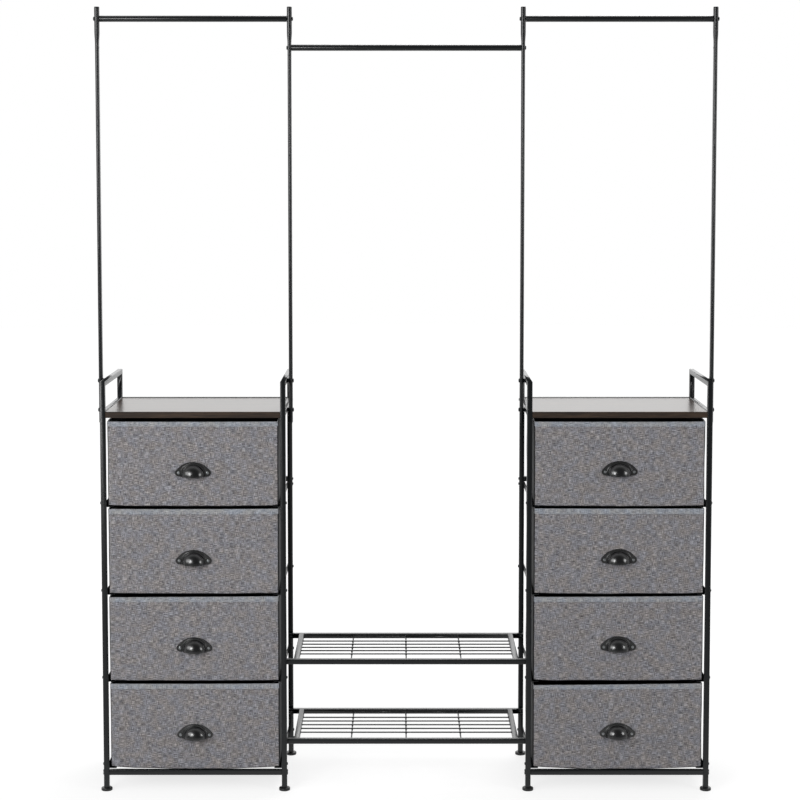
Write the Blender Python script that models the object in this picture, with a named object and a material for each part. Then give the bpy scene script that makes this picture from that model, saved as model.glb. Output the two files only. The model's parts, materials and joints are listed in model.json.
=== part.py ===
"""Clothes rack: two dressers with fabric drawers, hanging posts and rods, and two wire shelves.

Metres, +Z up, +X to the right of someone who faces the drawers, drawers opening towards -Y.
The origin is on the floor, in the middle of the whole rack's length and depth.
"""

import math

import bmesh
import bpy
from mathutils import Vector

# A dresser's outside sizes, and the space between the two dressers
DRESSER_WIDTH = 0.445
DRESSER_DEPTH = 0.296
CENTRE_GAP = 0.5793

# Square tube of the frames, crossbars and shelves
TUBE = 0.0127
TUBE_WALL = 0.0009
TUBE_CHAMFER = 0.0014
END_PLATE = 0.004
VENT_RADIUS = 0.0015

# Clearance between pieces that touch, and the overlap of pieces that are welded
CLEAR = 0.0003
WELD = 0.0004

# Board, its gap over the top drawer, and the handle rail above it
BOARD_OVER_DRAWER = 0.007
BOARD_THICKNESS = 0.015
BOARD_CHAMFER = 0.0008
RAIL_ABOVE_BOARD = 0.0015
HANDLE_ABOVE_BOARD = 0.073
BOARD_BORE = 0.018
BOARD_SCREW_INSET = 0.060

# Drawers
DRAWER_COUNT = 4
DRAWER_HEIGHT = 0.2072
DRAWER_TOP_GAP = 0.0046
DRAWER_SIDE_GAP = 0.0046
DRAWER_REAR_GAP = 0.004
DRAWER_WALL = 0.0035
DRAWER_FRONT = 0.006
DRAWER_FLOOR = 0.005
DRAWER_ROUNDING = 0.003

# Runners
RUNNER_THICKNESS = 0.0014
RUNNER_HEIGHT = 0.0152
RUNNER_DECK = 0.018
RUNNER_SETBACK = 0.001

# Crossbars
LOW_BAR_RISE = 0.0365
FRONT_SCREW_RISE = 0.0033
RUNNER_OVER_BAR = 0.00475
BAR_OVER_RUNNER = 0.001

# Hanging posts
SPACER_LENGTH = 0.004
SPACER_RADIUS = 0.0055
POST_SETBACK = 0.0747
POST_BELOW_RAIL = 0.03065
POST_LENGTH = 1.0017
POST_THICKNESS = 0.0094
POST_DEPTH = 0.0170
POST_TOP_THICKNESS = 0.0124
POST_TOP_DEPTH = 0.0158
POST_WALL = 0.0010
POST_TAPER = 0.028
POST_TAPER_OVER_ROD = 0.0015
POST_SIDES = 10
CAP_PLATE = 0.002
CAP_PLUG = 0.008

# Rods
HIGH_ROD_BELOW_TOP = 0.0262
ROD_STEP = 0.069
ROD_RADIUS = 0.0075
ROD_WALL = 0.0010
ROD_END = 0.010
ROD_SIDES = 16

# Fasteners
BOLT_RADIUS = 0.0025
BOLT_HEAD_RADIUS = 0.0052
BOLT_HEAD_HEIGHT = 0.0024
BOLT_SIDES = 8
BOLT_IN_HANDLE = 0.009
SCREW_RADIUS = 0.0018
SCREW_HEAD_RADIUS = 0.0032
SCREW_HEAD_HEIGHT = 0.0017
SCREW_SIDES = 6
HEAD_TOP = 0.7

# Wire shelves
SHELF_HEIGHTS = {"lower": 0.1178, "upper": 0.3145}
SHELF_END_SETBACK = 0.001
SHELF_SIDE_INSET = 0.0226
WIRE_RADIUS = 0.0018
WIRE_SIDES = 8
LONG_WIRES = 5
LONG_WIRE_PITCH = 0.032
CROSS_WIRES = 3
CROSS_WIRE_PITCH = 0.134

# Levelling feet
FOOT_RADIUS = 0.0135
FOOT_RIM = 0.0042
FOOT_SHOULDER = 0.0065
FOOT_COLLAR = 0.0012
FOOT_SHOULDER_RADIUS = 0.0105
FOOT_COLLAR_RADIUS = 0.0062
FOOT_SIDES = 14
STEM_RADIUS = 0.004
STEM_LENGTH = 0.026

# Cup pulls
CUP_WIDTH = 0.0585
CUP_PROJECTION = 0.0215
CUP_RISE = 0.0365
CUP_SHELL = 0.0016
CUP_BELOW_CENTRE = 0.0325
CUP_STEPS = 8
RIM_WIDTH = 0.0035
EAR_REACH = 0.01425
EAR_HEIGHT = 0.0140
EAR_PLATE = 0.0020
EAR_RISE = 0.0150
EAR_STEPS = 4
EAR_SCREW_INSET = 0.0080
NUT_RADIUS = 0.0036
NUT_HEIGHT = 0.0030

# Half sizes and holes
TUBE_HALF = TUBE / 2
BORE_HALF = TUBE_HALF - TUBE_WALL
BOLT_HOLE = BOLT_RADIUS + CLEAR
SCREW_HOLE = SCREW_RADIUS + CLEAR
INNER_HALF = DRESSER_WIDTH / 2 - TUBE
BAR_HALF = INNER_HALF - CLEAR
DRAWER_HALF = INNER_HALF - DRAWER_SIDE_GAP
EAR_HALF = CUP_WIDTH / 2 + EAR_REACH
EAR_SCREW_X = EAR_HALF - EAR_SCREW_INSET

# Places along Y, front to back, with the whole rack's depth centred on the origin
FRAME_SHIFT = (CUP_PROJECTION + CLEAR - FOOT_RADIUS + TUBE_HALF) / 2
FRONT = FRAME_SHIFT - DRESSER_DEPTH / 2
REAR = FRAME_SHIFT + DRESSER_DEPTH / 2
FRONT_POST_Y = FRONT + TUBE_HALF
REAR_POST_Y = REAR - TUBE_HALF
HANGING_POST_Y = FRONT_POST_Y + POST_SETBACK
BOARD_SCREW_Y = REAR - BOARD_SCREW_INSET
DRAWER_DEPTH = DRESSER_DEPTH - TUBE - DRAWER_REAR_GAP
SHELF_FRONT_Y = FRONT + TUBE + CLEAR + TUBE_HALF
SHELF_REAR_Y = REAR - TUBE - CLEAR - TUBE_HALF

# Places along X
DRESSER_X = (CENTRE_GAP + DRESSER_WIDTH) / 2
FRAME_OFFSET = (DRESSER_WIDTH - TUBE) / 2
SHELF_HALF = CENTRE_GAP / 2 + TUBE - SHELF_END_SETBACK
SHELF_SIDE_X = CENTRE_GAP / 2 - SHELF_SIDE_INSET
SHELF_SCREW_X = CENTRE_GAP / 2 + TUBE_HALF

# Heights, from the floor up
FRAME_BOTTOM = FOOT_SHOULDER + FOOT_COLLAR + CLEAR
LOW_BAR_Z = FRAME_BOTTOM + LOW_BAR_RISE
LOWEST_DRAWER = LOW_BAR_Z + TUBE_HALF + RUNNER_OVER_BAR + RUNNER_THICKNESS + CLEAR
DRAWER_PITCH = DRAWER_HEIGHT + DRAWER_TOP_GAP + RUNNER_THICKNESS + CLEAR
DRAWER_BASES = [LOWEST_DRAWER + i * DRAWER_PITCH for i in range(DRAWER_COUNT)]
RUNNER_BASES = [z - CLEAR - RUNNER_THICKNESS for z in DRAWER_BASES]
MIDDLE_BAR_Z = RUNNER_BASES[-1] + RUNNER_HEIGHT + BAR_OVER_RUNNER + TUBE_HALF
BOARD_TOP = DRAWER_BASES[-1] + DRAWER_HEIGHT + BOARD_OVER_DRAWER + BOARD_THICKNESS
SIDE_RAIL_Z = BOARD_TOP + RAIL_ABOVE_BOARD - TUBE_HALF
DRESSER_HEIGHT = BOARD_TOP + HANDLE_ABOVE_BOARD
HANDLE_Z = DRESSER_HEIGHT - TUBE_HALF
REAR_BARS = {"bottom": LOW_BAR_Z, "middle": MIDDLE_BAR_Z, "top": SIDE_RAIL_Z}
POST_BOTTOM = SIDE_RAIL_Z - POST_BELOW_RAIL
POST_TOP = POST_BOTTOM + POST_LENGTH
HIGH_ROD_Z = POST_TOP - HIGH_ROD_BELOW_TOP
LOW_ROD_Z = HIGH_ROD_Z - ROD_STEP
TAPER_START = LOW_ROD_Z + ROD_RADIUS + POST_TAPER_OVER_ROD
TAPER_END = TAPER_START + POST_TAPER
CUP_BASE = DRAWER_HEIGHT / 2 - CUP_BELOW_CENTRE

DRESSERS = {"left": -1, "right": 1}
X_AXIS = Vector((1, 0, 0))
Y_AXIS = Vector((0, 1, 0))
Z_AXIS = Vector((0, 0, 1))
SAME_POINT = 1e-6

# The coarsest round pieces turn 45 degrees from face to face
SMOOTH_DEGREES = 50


def clear_scene():
    """Removes every object that the scene starts with."""
    for item in list(bpy.data.objects):
        bpy.data.objects.remove(item, do_unlink=True)


def paint(name, colour, roughness):
    """Returns a Principled material of one colour."""
    material = bpy.data.materials.new(name)
    material.use_nodes = True
    shader = material.node_tree.nodes["Principled BSDF"]
    shader.inputs["Base Color"].default_value = (*colour, 1.0)
    shader.inputs["Roughness"].default_value = roughness
    shader.inputs["Metallic"].default_value = 0.0
    return material


def turned(bm, base, axis, profile, sides):
    """Spins a profile of (distance along the axis, radius) into a solid of revolution."""
    side = axis.orthogonal().normalized()
    verts = [bm.verts.new(base + axis * along + side * radius) for along, radius in profile]
    edges = [bm.edges.new(pair) for pair in zip(verts, verts[1:])]
    bmesh.ops.spin(bm, geom=verts + edges, cent=base, axis=axis, angle=math.tau, steps=sides, use_merge=True)


def cylinder(bm, start, axis, length, radius, sides):
    """A plain round bar from start along the axis."""
    turned(bm, start, axis, [(0, 0), (0, radius), (length, radius), (length, 0)], sides)


def loft(bm, rings):
    """Skins a stack of rings with the same number of points and closes both ends."""
    loops = [[bm.verts.new(point) for point in ring] for ring in rings]
    count = len(loops[0])
    for low, high in zip(loops, loops[1:]):
        for i in range(count):
            j = (i + 1) % count
            bm.faces.new((low[i], low[j], high[j], high[i]))
    bm.faces.new(list(reversed(loops[0])))
    bm.faces.new(loops[-1])


def square_section(half, chamfer):
    """Corner points of a square, with its corners cut where a chamfer is given."""
    if chamfer == 0:
        return [(-half, -half), (half, -half), (half, half), (-half, half)]
    near = half - chamfer
    return [
        (-near, -half), (near, -half), (half, -near), (half, near),
        (near, half), (-near, half), (-half, near), (-half, -near),
    ]


def square_bar(bm, start, end, half, chamfer=0):
    """A straight level bar of square section."""
    along = (end - start).normalized()
    across = along.cross(Z_AXIS)
    section = square_section(half, chamfer)
    loft(bm, [[centre + across * u + Z_AXIS * v for u, v in section] for centre in (start, end)])


def box(bm, low, high):
    """A plain box between two corners."""
    verts = bmesh.ops.create_cube(bm, size=1.0)["verts"]
    bmesh.ops.scale(bm, vec=high - low, verts=verts)
    bmesh.ops.translate(bm, vec=(low + high) / 2, verts=verts)


def stadium(thickness, depth):
    """Outline of a flattened round tube, thin along X."""
    radius = thickness / 2
    straight = (depth - thickness) / 2
    last = POST_SIDES // 2 - 1
    points = []
    for end in (-1, 1):
        for i in range(last + 1):
            angle = math.pi * i / last - math.pi / 2
            points.append((-end * radius * math.sin(angle), end * (straight + radius * math.cos(angle))))
    return points


def post_rings(x, stations):
    """Level rings in a hanging post, at each station's height and with its thickness and depth."""
    return [
        [Vector((x + u, HANGING_POST_Y + v, z)) for u, v in stadium(*size)]
        for z, size in stations
    ]


def place(name, mesh, location):
    """Links an object that shows the mesh at a place."""
    item = bpy.data.objects.new(name, mesh)
    item.location = location
    bpy.context.scene.collection.objects.link(item)
    return item


def solid(name, shape, material=None):
    """Makes an object from a function that fills a bmesh, with its faces turned outwards."""
    bm = bmesh.new()
    shape(bm)
    bmesh.ops.remove_doubles(bm, verts=bm.verts[:], dist=SAME_POINT)
    bmesh.ops.recalc_face_normals(bm, faces=bm.faces[:])
    mesh = bpy.data.meshes.new(name)
    bm.to_mesh(mesh)
    bm.free()
    if material:
        mesh.materials.append(material)
    return place(name, mesh, (0, 0, 0))


def combine(item, operation, shape, solver):
    """Joins a shape to an object, or cuts it out, and keeps the result as the object's mesh."""
    tool = solid(f"{item.name}_tool", shape)
    modifier = item.modifiers.new("boolean", "BOOLEAN")
    modifier.operation = operation
    modifier.solver = solver
    modifier.object = tool
    graph = bpy.context.evaluated_depsgraph_get()
    result = bpy.data.meshes.new_from_object(item.evaluated_get(graph))
    item.modifiers.clear()
    item.data = result
    bpy.data.objects.remove(tool, do_unlink=True)


def join(item, shape, solver="EXACT"):
    """Welds a shape to an object."""
    combine(item, "UNION", shape, solver)


def cut(item, shape, solver="EXACT"):
    """Cuts a shape out of an object."""
    combine(item, "DIFFERENCE", shape, solver)


def smooth(item):
    """Shades a round piece smooth and keeps its edges sharp."""
    item.data.shade_smooth()
    item.data.set_sharp_from_angle(angle=math.radians(SMOOTH_DEGREES))


def fastener(bm, seat, direction, head, shank, sides):
    """A low head on its seat and a shank along the direction, each given as radius and length."""
    head_radius, head_height = head
    radius, length = shank
    profile = [
        (-head_height, 0), (-head_height, head_radius * HEAD_TOP), (0, head_radius),
        (0, radius), (length, radius), (length, 0),
    ]
    turned(bm, seat, direction, profile, sides)


def bolt(bm, seat, direction, length):
    """A bolt, its head just clear of the seat."""
    head = (BOLT_HEAD_RADIUS, BOLT_HEAD_HEIGHT)
    fastener(bm, seat - direction * CLEAR, direction, head, (BOLT_RADIUS, length), BOLT_SIDES)


def screw(bm, seat, direction, length):
    """A screw, its head on the seat."""
    head = (SCREW_HEAD_RADIUS, SCREW_HEAD_HEIGHT)
    fastener(bm, seat, direction, head, (SCREW_RADIUS, length), SCREW_SIDES)


def frame_places():
    """Yields dresser, side, centre X, outward direction, and whether the shelves are beside it."""
    for dresser, sign in DRESSERS.items():
        for side, outward in (("outer", sign), ("inner", -sign)):
            yield dresser, side, sign * DRESSER_X + outward * FRAME_OFFSET, outward, side == "inner"


def tube_loop(bm, x, half, chamfer, foot):
    """The loop of front post, handle rail and rear post, mitred at its two corners."""
    section = square_section(half, chamfer)
    stations = (
        (FRONT_POST_Y, -1, False), (FRONT_POST_Y, -1, True),
        (REAR_POST_Y, 1, True), (REAR_POST_Y, 1, False),
    )
    rings = []
    for y, outwards, at_top in stations:
        rings.append([
            Vector((x + u, y + outwards * v, HANDLE_Z + v if at_top else foot))
            for u, v in section
        ])
    loft(bm, rings)


def side_frame(name, x, outward, with_shelf, steel):
    """A side frame: posts, handle rail, board rail, runners, spacers and the board's rear screw."""
    face = x - outward * TUBE_HALF
    inwards = -outward * X_AXIS

    def rail(bm):
        start = Vector((x, FRONT_POST_Y, SIDE_RAIL_Z))
        square_bar(bm, start, Vector((x, REAR_POST_Y, SIDE_RAIL_Z)), TUBE_HALF, TUBE_CHAMFER)

    def runners(bm):
        back = face + outward * WELD
        web = face - outward * RUNNER_THICKNESS
        tip = face - outward * RUNNER_DECK
        ends = (FRONT + RUNNER_SETBACK, REAR - RUNNER_SETBACK)
        for base in RUNNER_BASES:
            top = base + RUNNER_HEIGHT
            deck = base + RUNNER_THICKNESS
            outline = [(back, base), (tip, base), (tip, deck), (web, deck), (web, top), (back, top)]
            loft(bm, [[Vector((u, y, v)) for u, v in outline] for y in ends])

    def spacers(bm):
        for z in (HANDLE_Z, SIDE_RAIL_Z):
            start = Vector((x + outward * (TUBE_HALF - WELD), HANGING_POST_Y, z))
            cylinder(bm, start, -inwards, SPACER_LENGTH + WELD - CLEAR, SPACER_RADIUS, BOLT_SIDES)

    def rail_bore(bm):
        start = Vector((x, FRONT + TUBE + CLEAR, SIDE_RAIL_Z))
        square_bar(bm, start, Vector((x, REAR - TUBE - CLEAR, SIDE_RAIL_Z)), BORE_HALF)

    def holes_across(bm):
        far = x + outward * TUBE
        cylinder(bm, Vector((far, HANGING_POST_Y, HANDLE_Z)), inwards, TUBE, BOLT_HOLE, BOLT_SIDES)
        cylinder(bm, Vector((far, HANGING_POST_Y, SIDE_RAIL_Z)), inwards, 2 * TUBE, BOLT_HOLE, BOLT_SIDES)
        places = [(FRONT_POST_Y, LOW_BAR_Z - FRONT_SCREW_RISE), (FRONT_POST_Y, LOW_BAR_Z + FRONT_SCREW_RISE)]
        places += [(REAR_POST_Y, z) for z in REAR_BARS.values()]
        for y, z in places:
            cylinder(bm, Vector((far, y, z)), inwards, 2 * TUBE, SCREW_HOLE, SCREW_SIDES)

    def shelf_holes(bm):
        for z in SHELF_HEIGHTS.values():
            cylinder(bm, Vector((x, FRONT + TUBE + CLEAR, z)), -Y_AXIS, TUBE_HALF, SCREW_HOLE, SCREW_SIDES)
            cylinder(bm, Vector((x, REAR - TUBE - CLEAR, z)), Y_AXIS, TUBE_HALF, SCREW_HOLE, SCREW_SIDES)

    def foot_holes(bm):
        for y in (FRONT_POST_Y, REAR_POST_Y):
            start = Vector((x, y, FRAME_BOTTOM - END_PLATE))
            cylinder(bm, start, Z_AXIS, 3 * END_PLATE, STEM_RADIUS + CLEAR, FOOT_SIDES)

    def board_screw(bm):
        seat = Vector((x + outward * (TUBE_HALF - WELD), BOARD_SCREW_Y, SIDE_RAIL_Z))
        screw(bm, seat, inwards, TUBE + BOARD_BORE - CLEAR)

    def loop_bore(bm):
        tube_loop(bm, x, BORE_HALF, 0, FRAME_BOTTOM + END_PLATE)

    item = solid(name, lambda bm: tube_loop(bm, x, TUBE_HALF, TUBE_CHAMFER, FRAME_BOTTOM), steel)
    for shape in (rail, runners, spacers):
        join(item, shape, "MANIFOLD")
    for shape in (loop_bore, rail_bore, holes_across, foot_holes):
        cut(item, shape, "MANIFOLD")
    if with_shelf:
        cut(item, shelf_holes, "MANIFOLD")
    join(item, board_screw, "MANIFOLD")


def crossbar(name, x, y, z, rises, steel):
    """A hollow crossbar with plugged ends, and the screws that hold it through both posts."""
    centre = Vector((x, y, z))
    bore = X_AXIS * (BAR_HALF - END_PLATE)

    def tube(bm):
        square_bar(bm, centre - X_AXIS * BAR_HALF, centre + X_AXIS * BAR_HALF, TUBE_HALF, TUBE_CHAMFER)

    def screws(bm):
        for end in (-1, 1):
            for rise in rises:
                seat = centre + Vector((end * (INNER_HALF + TUBE + CLEAR), 0, rise))
                screw(bm, seat, -end * X_AXIS, TUBE + END_PLATE)

    item = solid(name, tube, steel)
    cut(item, lambda bm: square_bar(bm, centre - bore, centre + bore, BORE_HALF))
    cut(item, lambda bm: cylinder(bm, centre, -Z_AXIS, TUBE, VENT_RADIUS, SCREW_SIDES))
    join(item, screws)


def board(name, x, wood):
    """A top board, bored at both ends for the bolts and screws that hold it."""

    def slab(bm):
        low = Vector((x - BAR_HALF, FRONT, BOARD_TOP - BOARD_THICKNESS))
        box(bm, low, Vector((x + BAR_HALF, REAR - TUBE - CLEAR, BOARD_TOP)))
        bmesh.ops.bevel(bm, geom=bm.edges[:], offset=BOARD_CHAMFER, segments=1, affect="EDGES", profile=0.5)

    def bores(bm):
        length = BOARD_BORE + 2 * CLEAR
        bored = ((HANGING_POST_Y, BOLT_HOLE, BOLT_SIDES), (BOARD_SCREW_Y, SCREW_HOLE, SCREW_SIDES))
        for end in (-1, 1):
            for y, radius, sides in bored:
                start = Vector((x + end * (BAR_HALF + CLEAR), y, SIDE_RAIL_Z))
                cylinder(bm, start, -end * X_AXIS, length, radius, sides)

    item = solid(name, slab, wood)
    cut(item, bores)


def drawer_shape(fabric):
    """The sewn drawer with its origin at its front, bottom and middle: walls, floor and screw holes."""

    def outside(bm):
        box(bm, Vector((-DRAWER_HALF, 0, 0)), Vector((DRAWER_HALF, DRAWER_DEPTH, DRAWER_HEIGHT)))
        edges = [edge for edge in bm.edges if any(vert.co.z < DRAWER_HEIGHT / 2 for vert in edge.verts)]
        bmesh.ops.bevel(bm, geom=edges, offset=DRAWER_ROUNDING, segments=2, affect="EDGES", profile=0.5)

    def inside(bm):
        low = Vector((DRAWER_WALL - DRAWER_HALF, DRAWER_FRONT, DRAWER_FLOOR))
        high = Vector((DRAWER_HALF - DRAWER_WALL, DRAWER_DEPTH - DRAWER_WALL, DRAWER_HEIGHT + DRAWER_WALL))
        box(bm, low, high)

    def holes(bm):
        for end in (-1, 1):
            start = Vector((end * EAR_SCREW_X, -DRAWER_FRONT, CUP_BASE + EAR_RISE))
            cylinder(bm, start, Y_AXIS, 3 * DRAWER_FRONT, SCREW_HOLE, SCREW_SIDES)

    item = solid("drawer", outside, fabric)
    cut(item, inside)
    cut(item, holes)
    return item


def quarter_ellipsoid(bm, width, rise, projection, extra):
    """A closed quarter of an ellipsoid, its flat back and bottom moved a little further out."""
    turns = [math.pi * i / CUP_STEPS for i in range(CUP_STEPS + 1)]
    verts = [bm.verts.new((-width / 2 * math.cos(turn), 0, rise * math.sin(turn))) for turn in turns]
    edges = [bm.edges.new(pair) for pair in zip(verts, verts[1:])]
    steps = CUP_STEPS // 2
    bmesh.ops.spin(bm, geom=verts + edges, cent=(0, 0, 0), axis=X_AXIS, angle=math.pi / 2, steps=steps)
    bmesh.ops.remove_doubles(bm, verts=bm.verts[:], dist=SAME_POINT)
    bmesh.ops.scale(bm, vec=(1, projection / rise, 1), verts=bm.verts[:])
    back = sorted((v for v in bm.verts if v.co.y > -SAME_POINT), key=lambda v: v.co.x)
    bottom = sorted((v for v in bm.verts if v.co.z < SAME_POINT), key=lambda v: v.co.x)
    bm.faces.new(back)
    bm.faces.new(bottom)
    bmesh.ops.translate(bm, vec=Y_AXIS * extra, verts=back)
    bmesh.ops.translate(bm, vec=-Z_AXIS * extra, verts=bottom)


def plate_outline():
    """Outline of the pull's back plate: a rim round the half dome with a rounded ear at each side."""
    width = CUP_WIDTH / 2 + RIM_WIDTH
    rise = CUP_RISE + RIM_WIDTH
    radius = EAR_HEIGHT / 2
    low, high = (math.asin((EAR_RISE + side * radius) / rise) for side in (-1, 1))
    points = [(width, 0), (width * math.cos(low), rise * math.sin(low))]
    for i in range(EAR_STEPS + 1):
        angle = math.pi * (i / EAR_STEPS - 1 / 2)
        points.append((EAR_HALF - radius + radius * math.cos(angle), EAR_RISE + radius * math.sin(angle)))
    steps = CUP_STEPS // 2
    for i in range(steps):
        turn = high + (math.pi / 2 - high) * i / steps
        points.append((width * math.cos(turn), rise * math.sin(turn)))
    return points + [(0, rise)] + [(-x, z) for x, z in reversed(points)]


def pull_shape(steel):
    """A pressed cup pull with its two screws and nuts, its origin at the middle of its mouth."""

    def dome(bm):
        quarter_ellipsoid(bm, CUP_WIDTH, CUP_RISE, CUP_PROJECTION, 0)

    def back_plate(bm):
        loft(bm, [[Vector((x, y, z)) for x, z in plate_outline()] for y in (-EAR_PLATE, 0)])

    def hollow(bm):
        width = CUP_WIDTH - 2 * CUP_SHELL
        quarter_ellipsoid(bm, width, CUP_RISE - CUP_SHELL, CUP_PROJECTION - CUP_SHELL, CUP_SHELL)

    def screws(bm):
        top = -EAR_PLATE - SCREW_HEAD_HEIGHT
        seat = WELD - EAR_PLATE
        nut = DRAWER_FRONT + 2 * CLEAR
        end = nut + NUT_HEIGHT
        profile = [
            (top, 0), (top, SCREW_HEAD_RADIUS * HEAD_TOP), (seat, SCREW_HEAD_RADIUS), (seat, SCREW_RADIUS),
            (nut, SCREW_RADIUS), (nut, NUT_RADIUS), (end, NUT_RADIUS), (end, 0),
        ]
        for side in (-1, 1):
            turned(bm, Vector((side * EAR_SCREW_X, 0, EAR_RISE)), Y_AXIS, profile, SCREW_SIDES)

    item = solid("pull", dome, steel)
    join(item, back_plate)
    cut(item, hollow)
    join(item, screws)
    smooth(item)
    return item


def hanging_post(name, x, steel):
    """A flattened tube, rounder at its top, with two bolt holes and two rod holes across it."""

    def tube(bm, wall, low, high):
        narrow = (POST_THICKNESS - 2 * wall, POST_DEPTH - 2 * wall)
        round_top = (POST_TOP_THICKNESS - 2 * wall, POST_TOP_DEPTH - 2 * wall)
        stations = ((low, narrow), (TAPER_START, narrow), (TAPER_END, round_top), (high, round_top))
        loft(bm, post_rings(x, stations))

    def holes(bm):
        for z in (SIDE_RAIL_Z, HANDLE_Z, LOW_ROD_Z, HIGH_ROD_Z):
            start = Vector((x - POST_DEPTH, HANGING_POST_Y, z))
            cylinder(bm, start, X_AXIS, 2 * POST_DEPTH, BOLT_HOLE, BOLT_SIDES)

    item = solid(name, lambda bm: tube(bm, 0, POST_BOTTOM, POST_TOP), steel)
    cut(item, lambda bm: tube(bm, POST_WALL, POST_BOTTOM - POST_DEPTH, POST_TOP + POST_DEPTH))
    cut(item, holes)
    smooth(item)


def post_cap(name, x, plastic):
    """A plug in the top of a hanging post."""
    wall = POST_WALL + CLEAR
    plug = (POST_TOP_THICKNESS - 2 * wall, POST_TOP_DEPTH - 2 * wall)
    plate = (POST_TOP_THICKNESS, POST_TOP_DEPTH)
    seat = POST_TOP + CLEAR
    stations = ((POST_TOP - CAP_PLUG, plug), (seat, plug), (seat, plate), (seat + CAP_PLATE, plate))

    smooth(solid(name, lambda bm: loft(bm, post_rings(x, stations)), plastic))


def post_bolt(name, seat, direction, length, steel):
    """One of the bolts that hold a hanging post to a side frame."""
    smooth(solid(name, lambda bm: bolt(bm, seat, direction, length), steel))


def rod(name, low_x, high_x, z, post_thickness, steel):
    """A hanging rod with plugged ends, and the bolts that hold it through both posts."""
    start = Vector((low_x + CLEAR, HANGING_POST_Y, z))
    length = high_x - low_x - 2 * CLEAR
    middle = Vector(((low_x + high_x) / 2, HANGING_POST_Y, z))

    def bore(bm):
        cylinder(bm, start + X_AXIS * ROD_END, X_AXIS, length - 2 * ROD_END, ROD_RADIUS - ROD_WALL, ROD_SIDES)

    def bolts(bm):
        for x, direction in ((low_x - post_thickness, X_AXIS), (high_x + post_thickness, -X_AXIS)):
            bolt(bm, Vector((x, HANGING_POST_Y, z)), direction, post_thickness + ROD_END)

    item = solid(name, lambda bm: cylinder(bm, start, X_AXIS, length, ROD_RADIUS, ROD_SIDES), steel)
    cut(item, bore)
    cut(item, lambda bm: cylinder(bm, middle, -Z_AXIS, 2 * ROD_RADIUS, VENT_RADIUS, SCREW_SIDES))
    join(item, bolts)
    smooth(item)


def wire_shelf(name, z, steel):
    """A welded shelf: square-tube frame, long wires over cross wires, and its four corner screws."""
    middle_y = (SHELF_FRONT_Y + SHELF_REAR_Y) / 2
    corners = [
        (Vector((x, y, z)), outwards)
        for x in (-SHELF_SCREW_X, SHELF_SCREW_X)
        for y, outwards in ((SHELF_FRONT_Y, -Y_AXIS), (SHELF_REAR_Y, Y_AXIS))
    ]

    def long_bars(bm, reach, half, chamfer):
        for y in (SHELF_FRONT_Y, SHELF_REAR_Y):
            square_bar(bm, Vector((-reach, y, z)), Vector((reach, y, z)), half, chamfer)

    def side_bars(bm, half, chamfer):
        for x in (-SHELF_SIDE_X, SHELF_SIDE_X):
            square_bar(bm, Vector((x, SHELF_FRONT_Y, z)), Vector((x, SHELF_REAR_Y, z)), half, chamfer)

    def long_wires(bm):
        reach = SHELF_SIDE_X - TUBE_HALF + WELD
        for i in range(LONG_WIRES):
            y = middle_y + (i - (LONG_WIRES - 1) / 2) * LONG_WIRE_PITCH
            start = Vector((-reach, y, z + WIRE_RADIUS - WELD / 2))
            cylinder(bm, start, X_AXIS, 2 * reach, WIRE_RADIUS, WIRE_SIDES)

    def cross_wires(bm):
        start_y = SHELF_FRONT_Y + TUBE_HALF - WELD
        length = SHELF_REAR_Y - TUBE_HALF + WELD - start_y
        for i in range(CROSS_WIRES):
            x = (i - (CROSS_WIRES - 1) / 2) * CROSS_WIRE_PITCH
            start = Vector((x, start_y, z - WIRE_RADIUS + WELD / 2))
            cylinder(bm, start, Y_AXIS, length, WIRE_RADIUS, WIRE_SIDES)

    def holes(bm):
        for centre, outwards in corners:
            cylinder(bm, centre, outwards, TUBE, SCREW_HOLE, SCREW_SIDES)

    def screws(bm):
        for centre, outwards in corners:
            screw(bm, centre - outwards * (TUBE_HALF - WELD), outwards, TUBE + TUBE_HALF)

    item = solid(name, lambda bm: long_bars(bm, SHELF_HALF, TUBE_HALF, TUBE_CHAMFER), steel)
    join(item, lambda bm: side_bars(bm, TUBE_HALF, TUBE_CHAMFER))
    cut(item, lambda bm: long_bars(bm, SHELF_HALF - TUBE_WALL, BORE_HALF, 0))
    cut(item, lambda bm: side_bars(bm, BORE_HALF - CLEAR, 0))
    join(item, long_wires)
    join(item, cross_wires)
    cut(item, holes)
    join(item, screws)


def foot_shape(plastic):
    """A levelling foot with its threaded stem, its origin on the floor on the stem's axis."""
    top = FRAME_BOTTOM - CLEAR
    profile = [
        (0, 0), (0, FOOT_RADIUS), (FOOT_RIM, FOOT_RADIUS), (FOOT_SHOULDER, FOOT_SHOULDER_RADIUS),
        (FOOT_SHOULDER, FOOT_COLLAR_RADIUS), (top, FOOT_COLLAR_RADIUS), (top, STEM_RADIUS),
        (top + STEM_LENGTH, STEM_RADIUS), (top + STEM_LENGTH, 0),
    ]
    item = solid("foot", lambda bm: turned(bm, Vector((0, 0, 0)), Z_AXIS, profile, FOOT_SIDES), plastic)
    smooth(item)
    return item


def dressers(steel, wood):
    """Side frames, boards and crossbars of both dressers."""
    for dresser, side, x, outward, with_shelf in frame_places():
        side_frame(f"side_frame_{dresser}_{side}", x, outward, with_shelf, steel)
    front_rises = (-FRONT_SCREW_RISE, FRONT_SCREW_RISE)
    for dresser, sign in DRESSERS.items():
        x = sign * DRESSER_X
        board(f"top_board_{dresser}", x, wood)
        crossbar(f"front_crossbar_{dresser}", x, FRONT_POST_Y, LOW_BAR_Z, front_rises, steel)
        for level, z in REAR_BARS.items():
            crossbar(f"rear_crossbar_{dresser}_{level}", x, REAR_POST_Y, z, (0,), steel)


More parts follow.
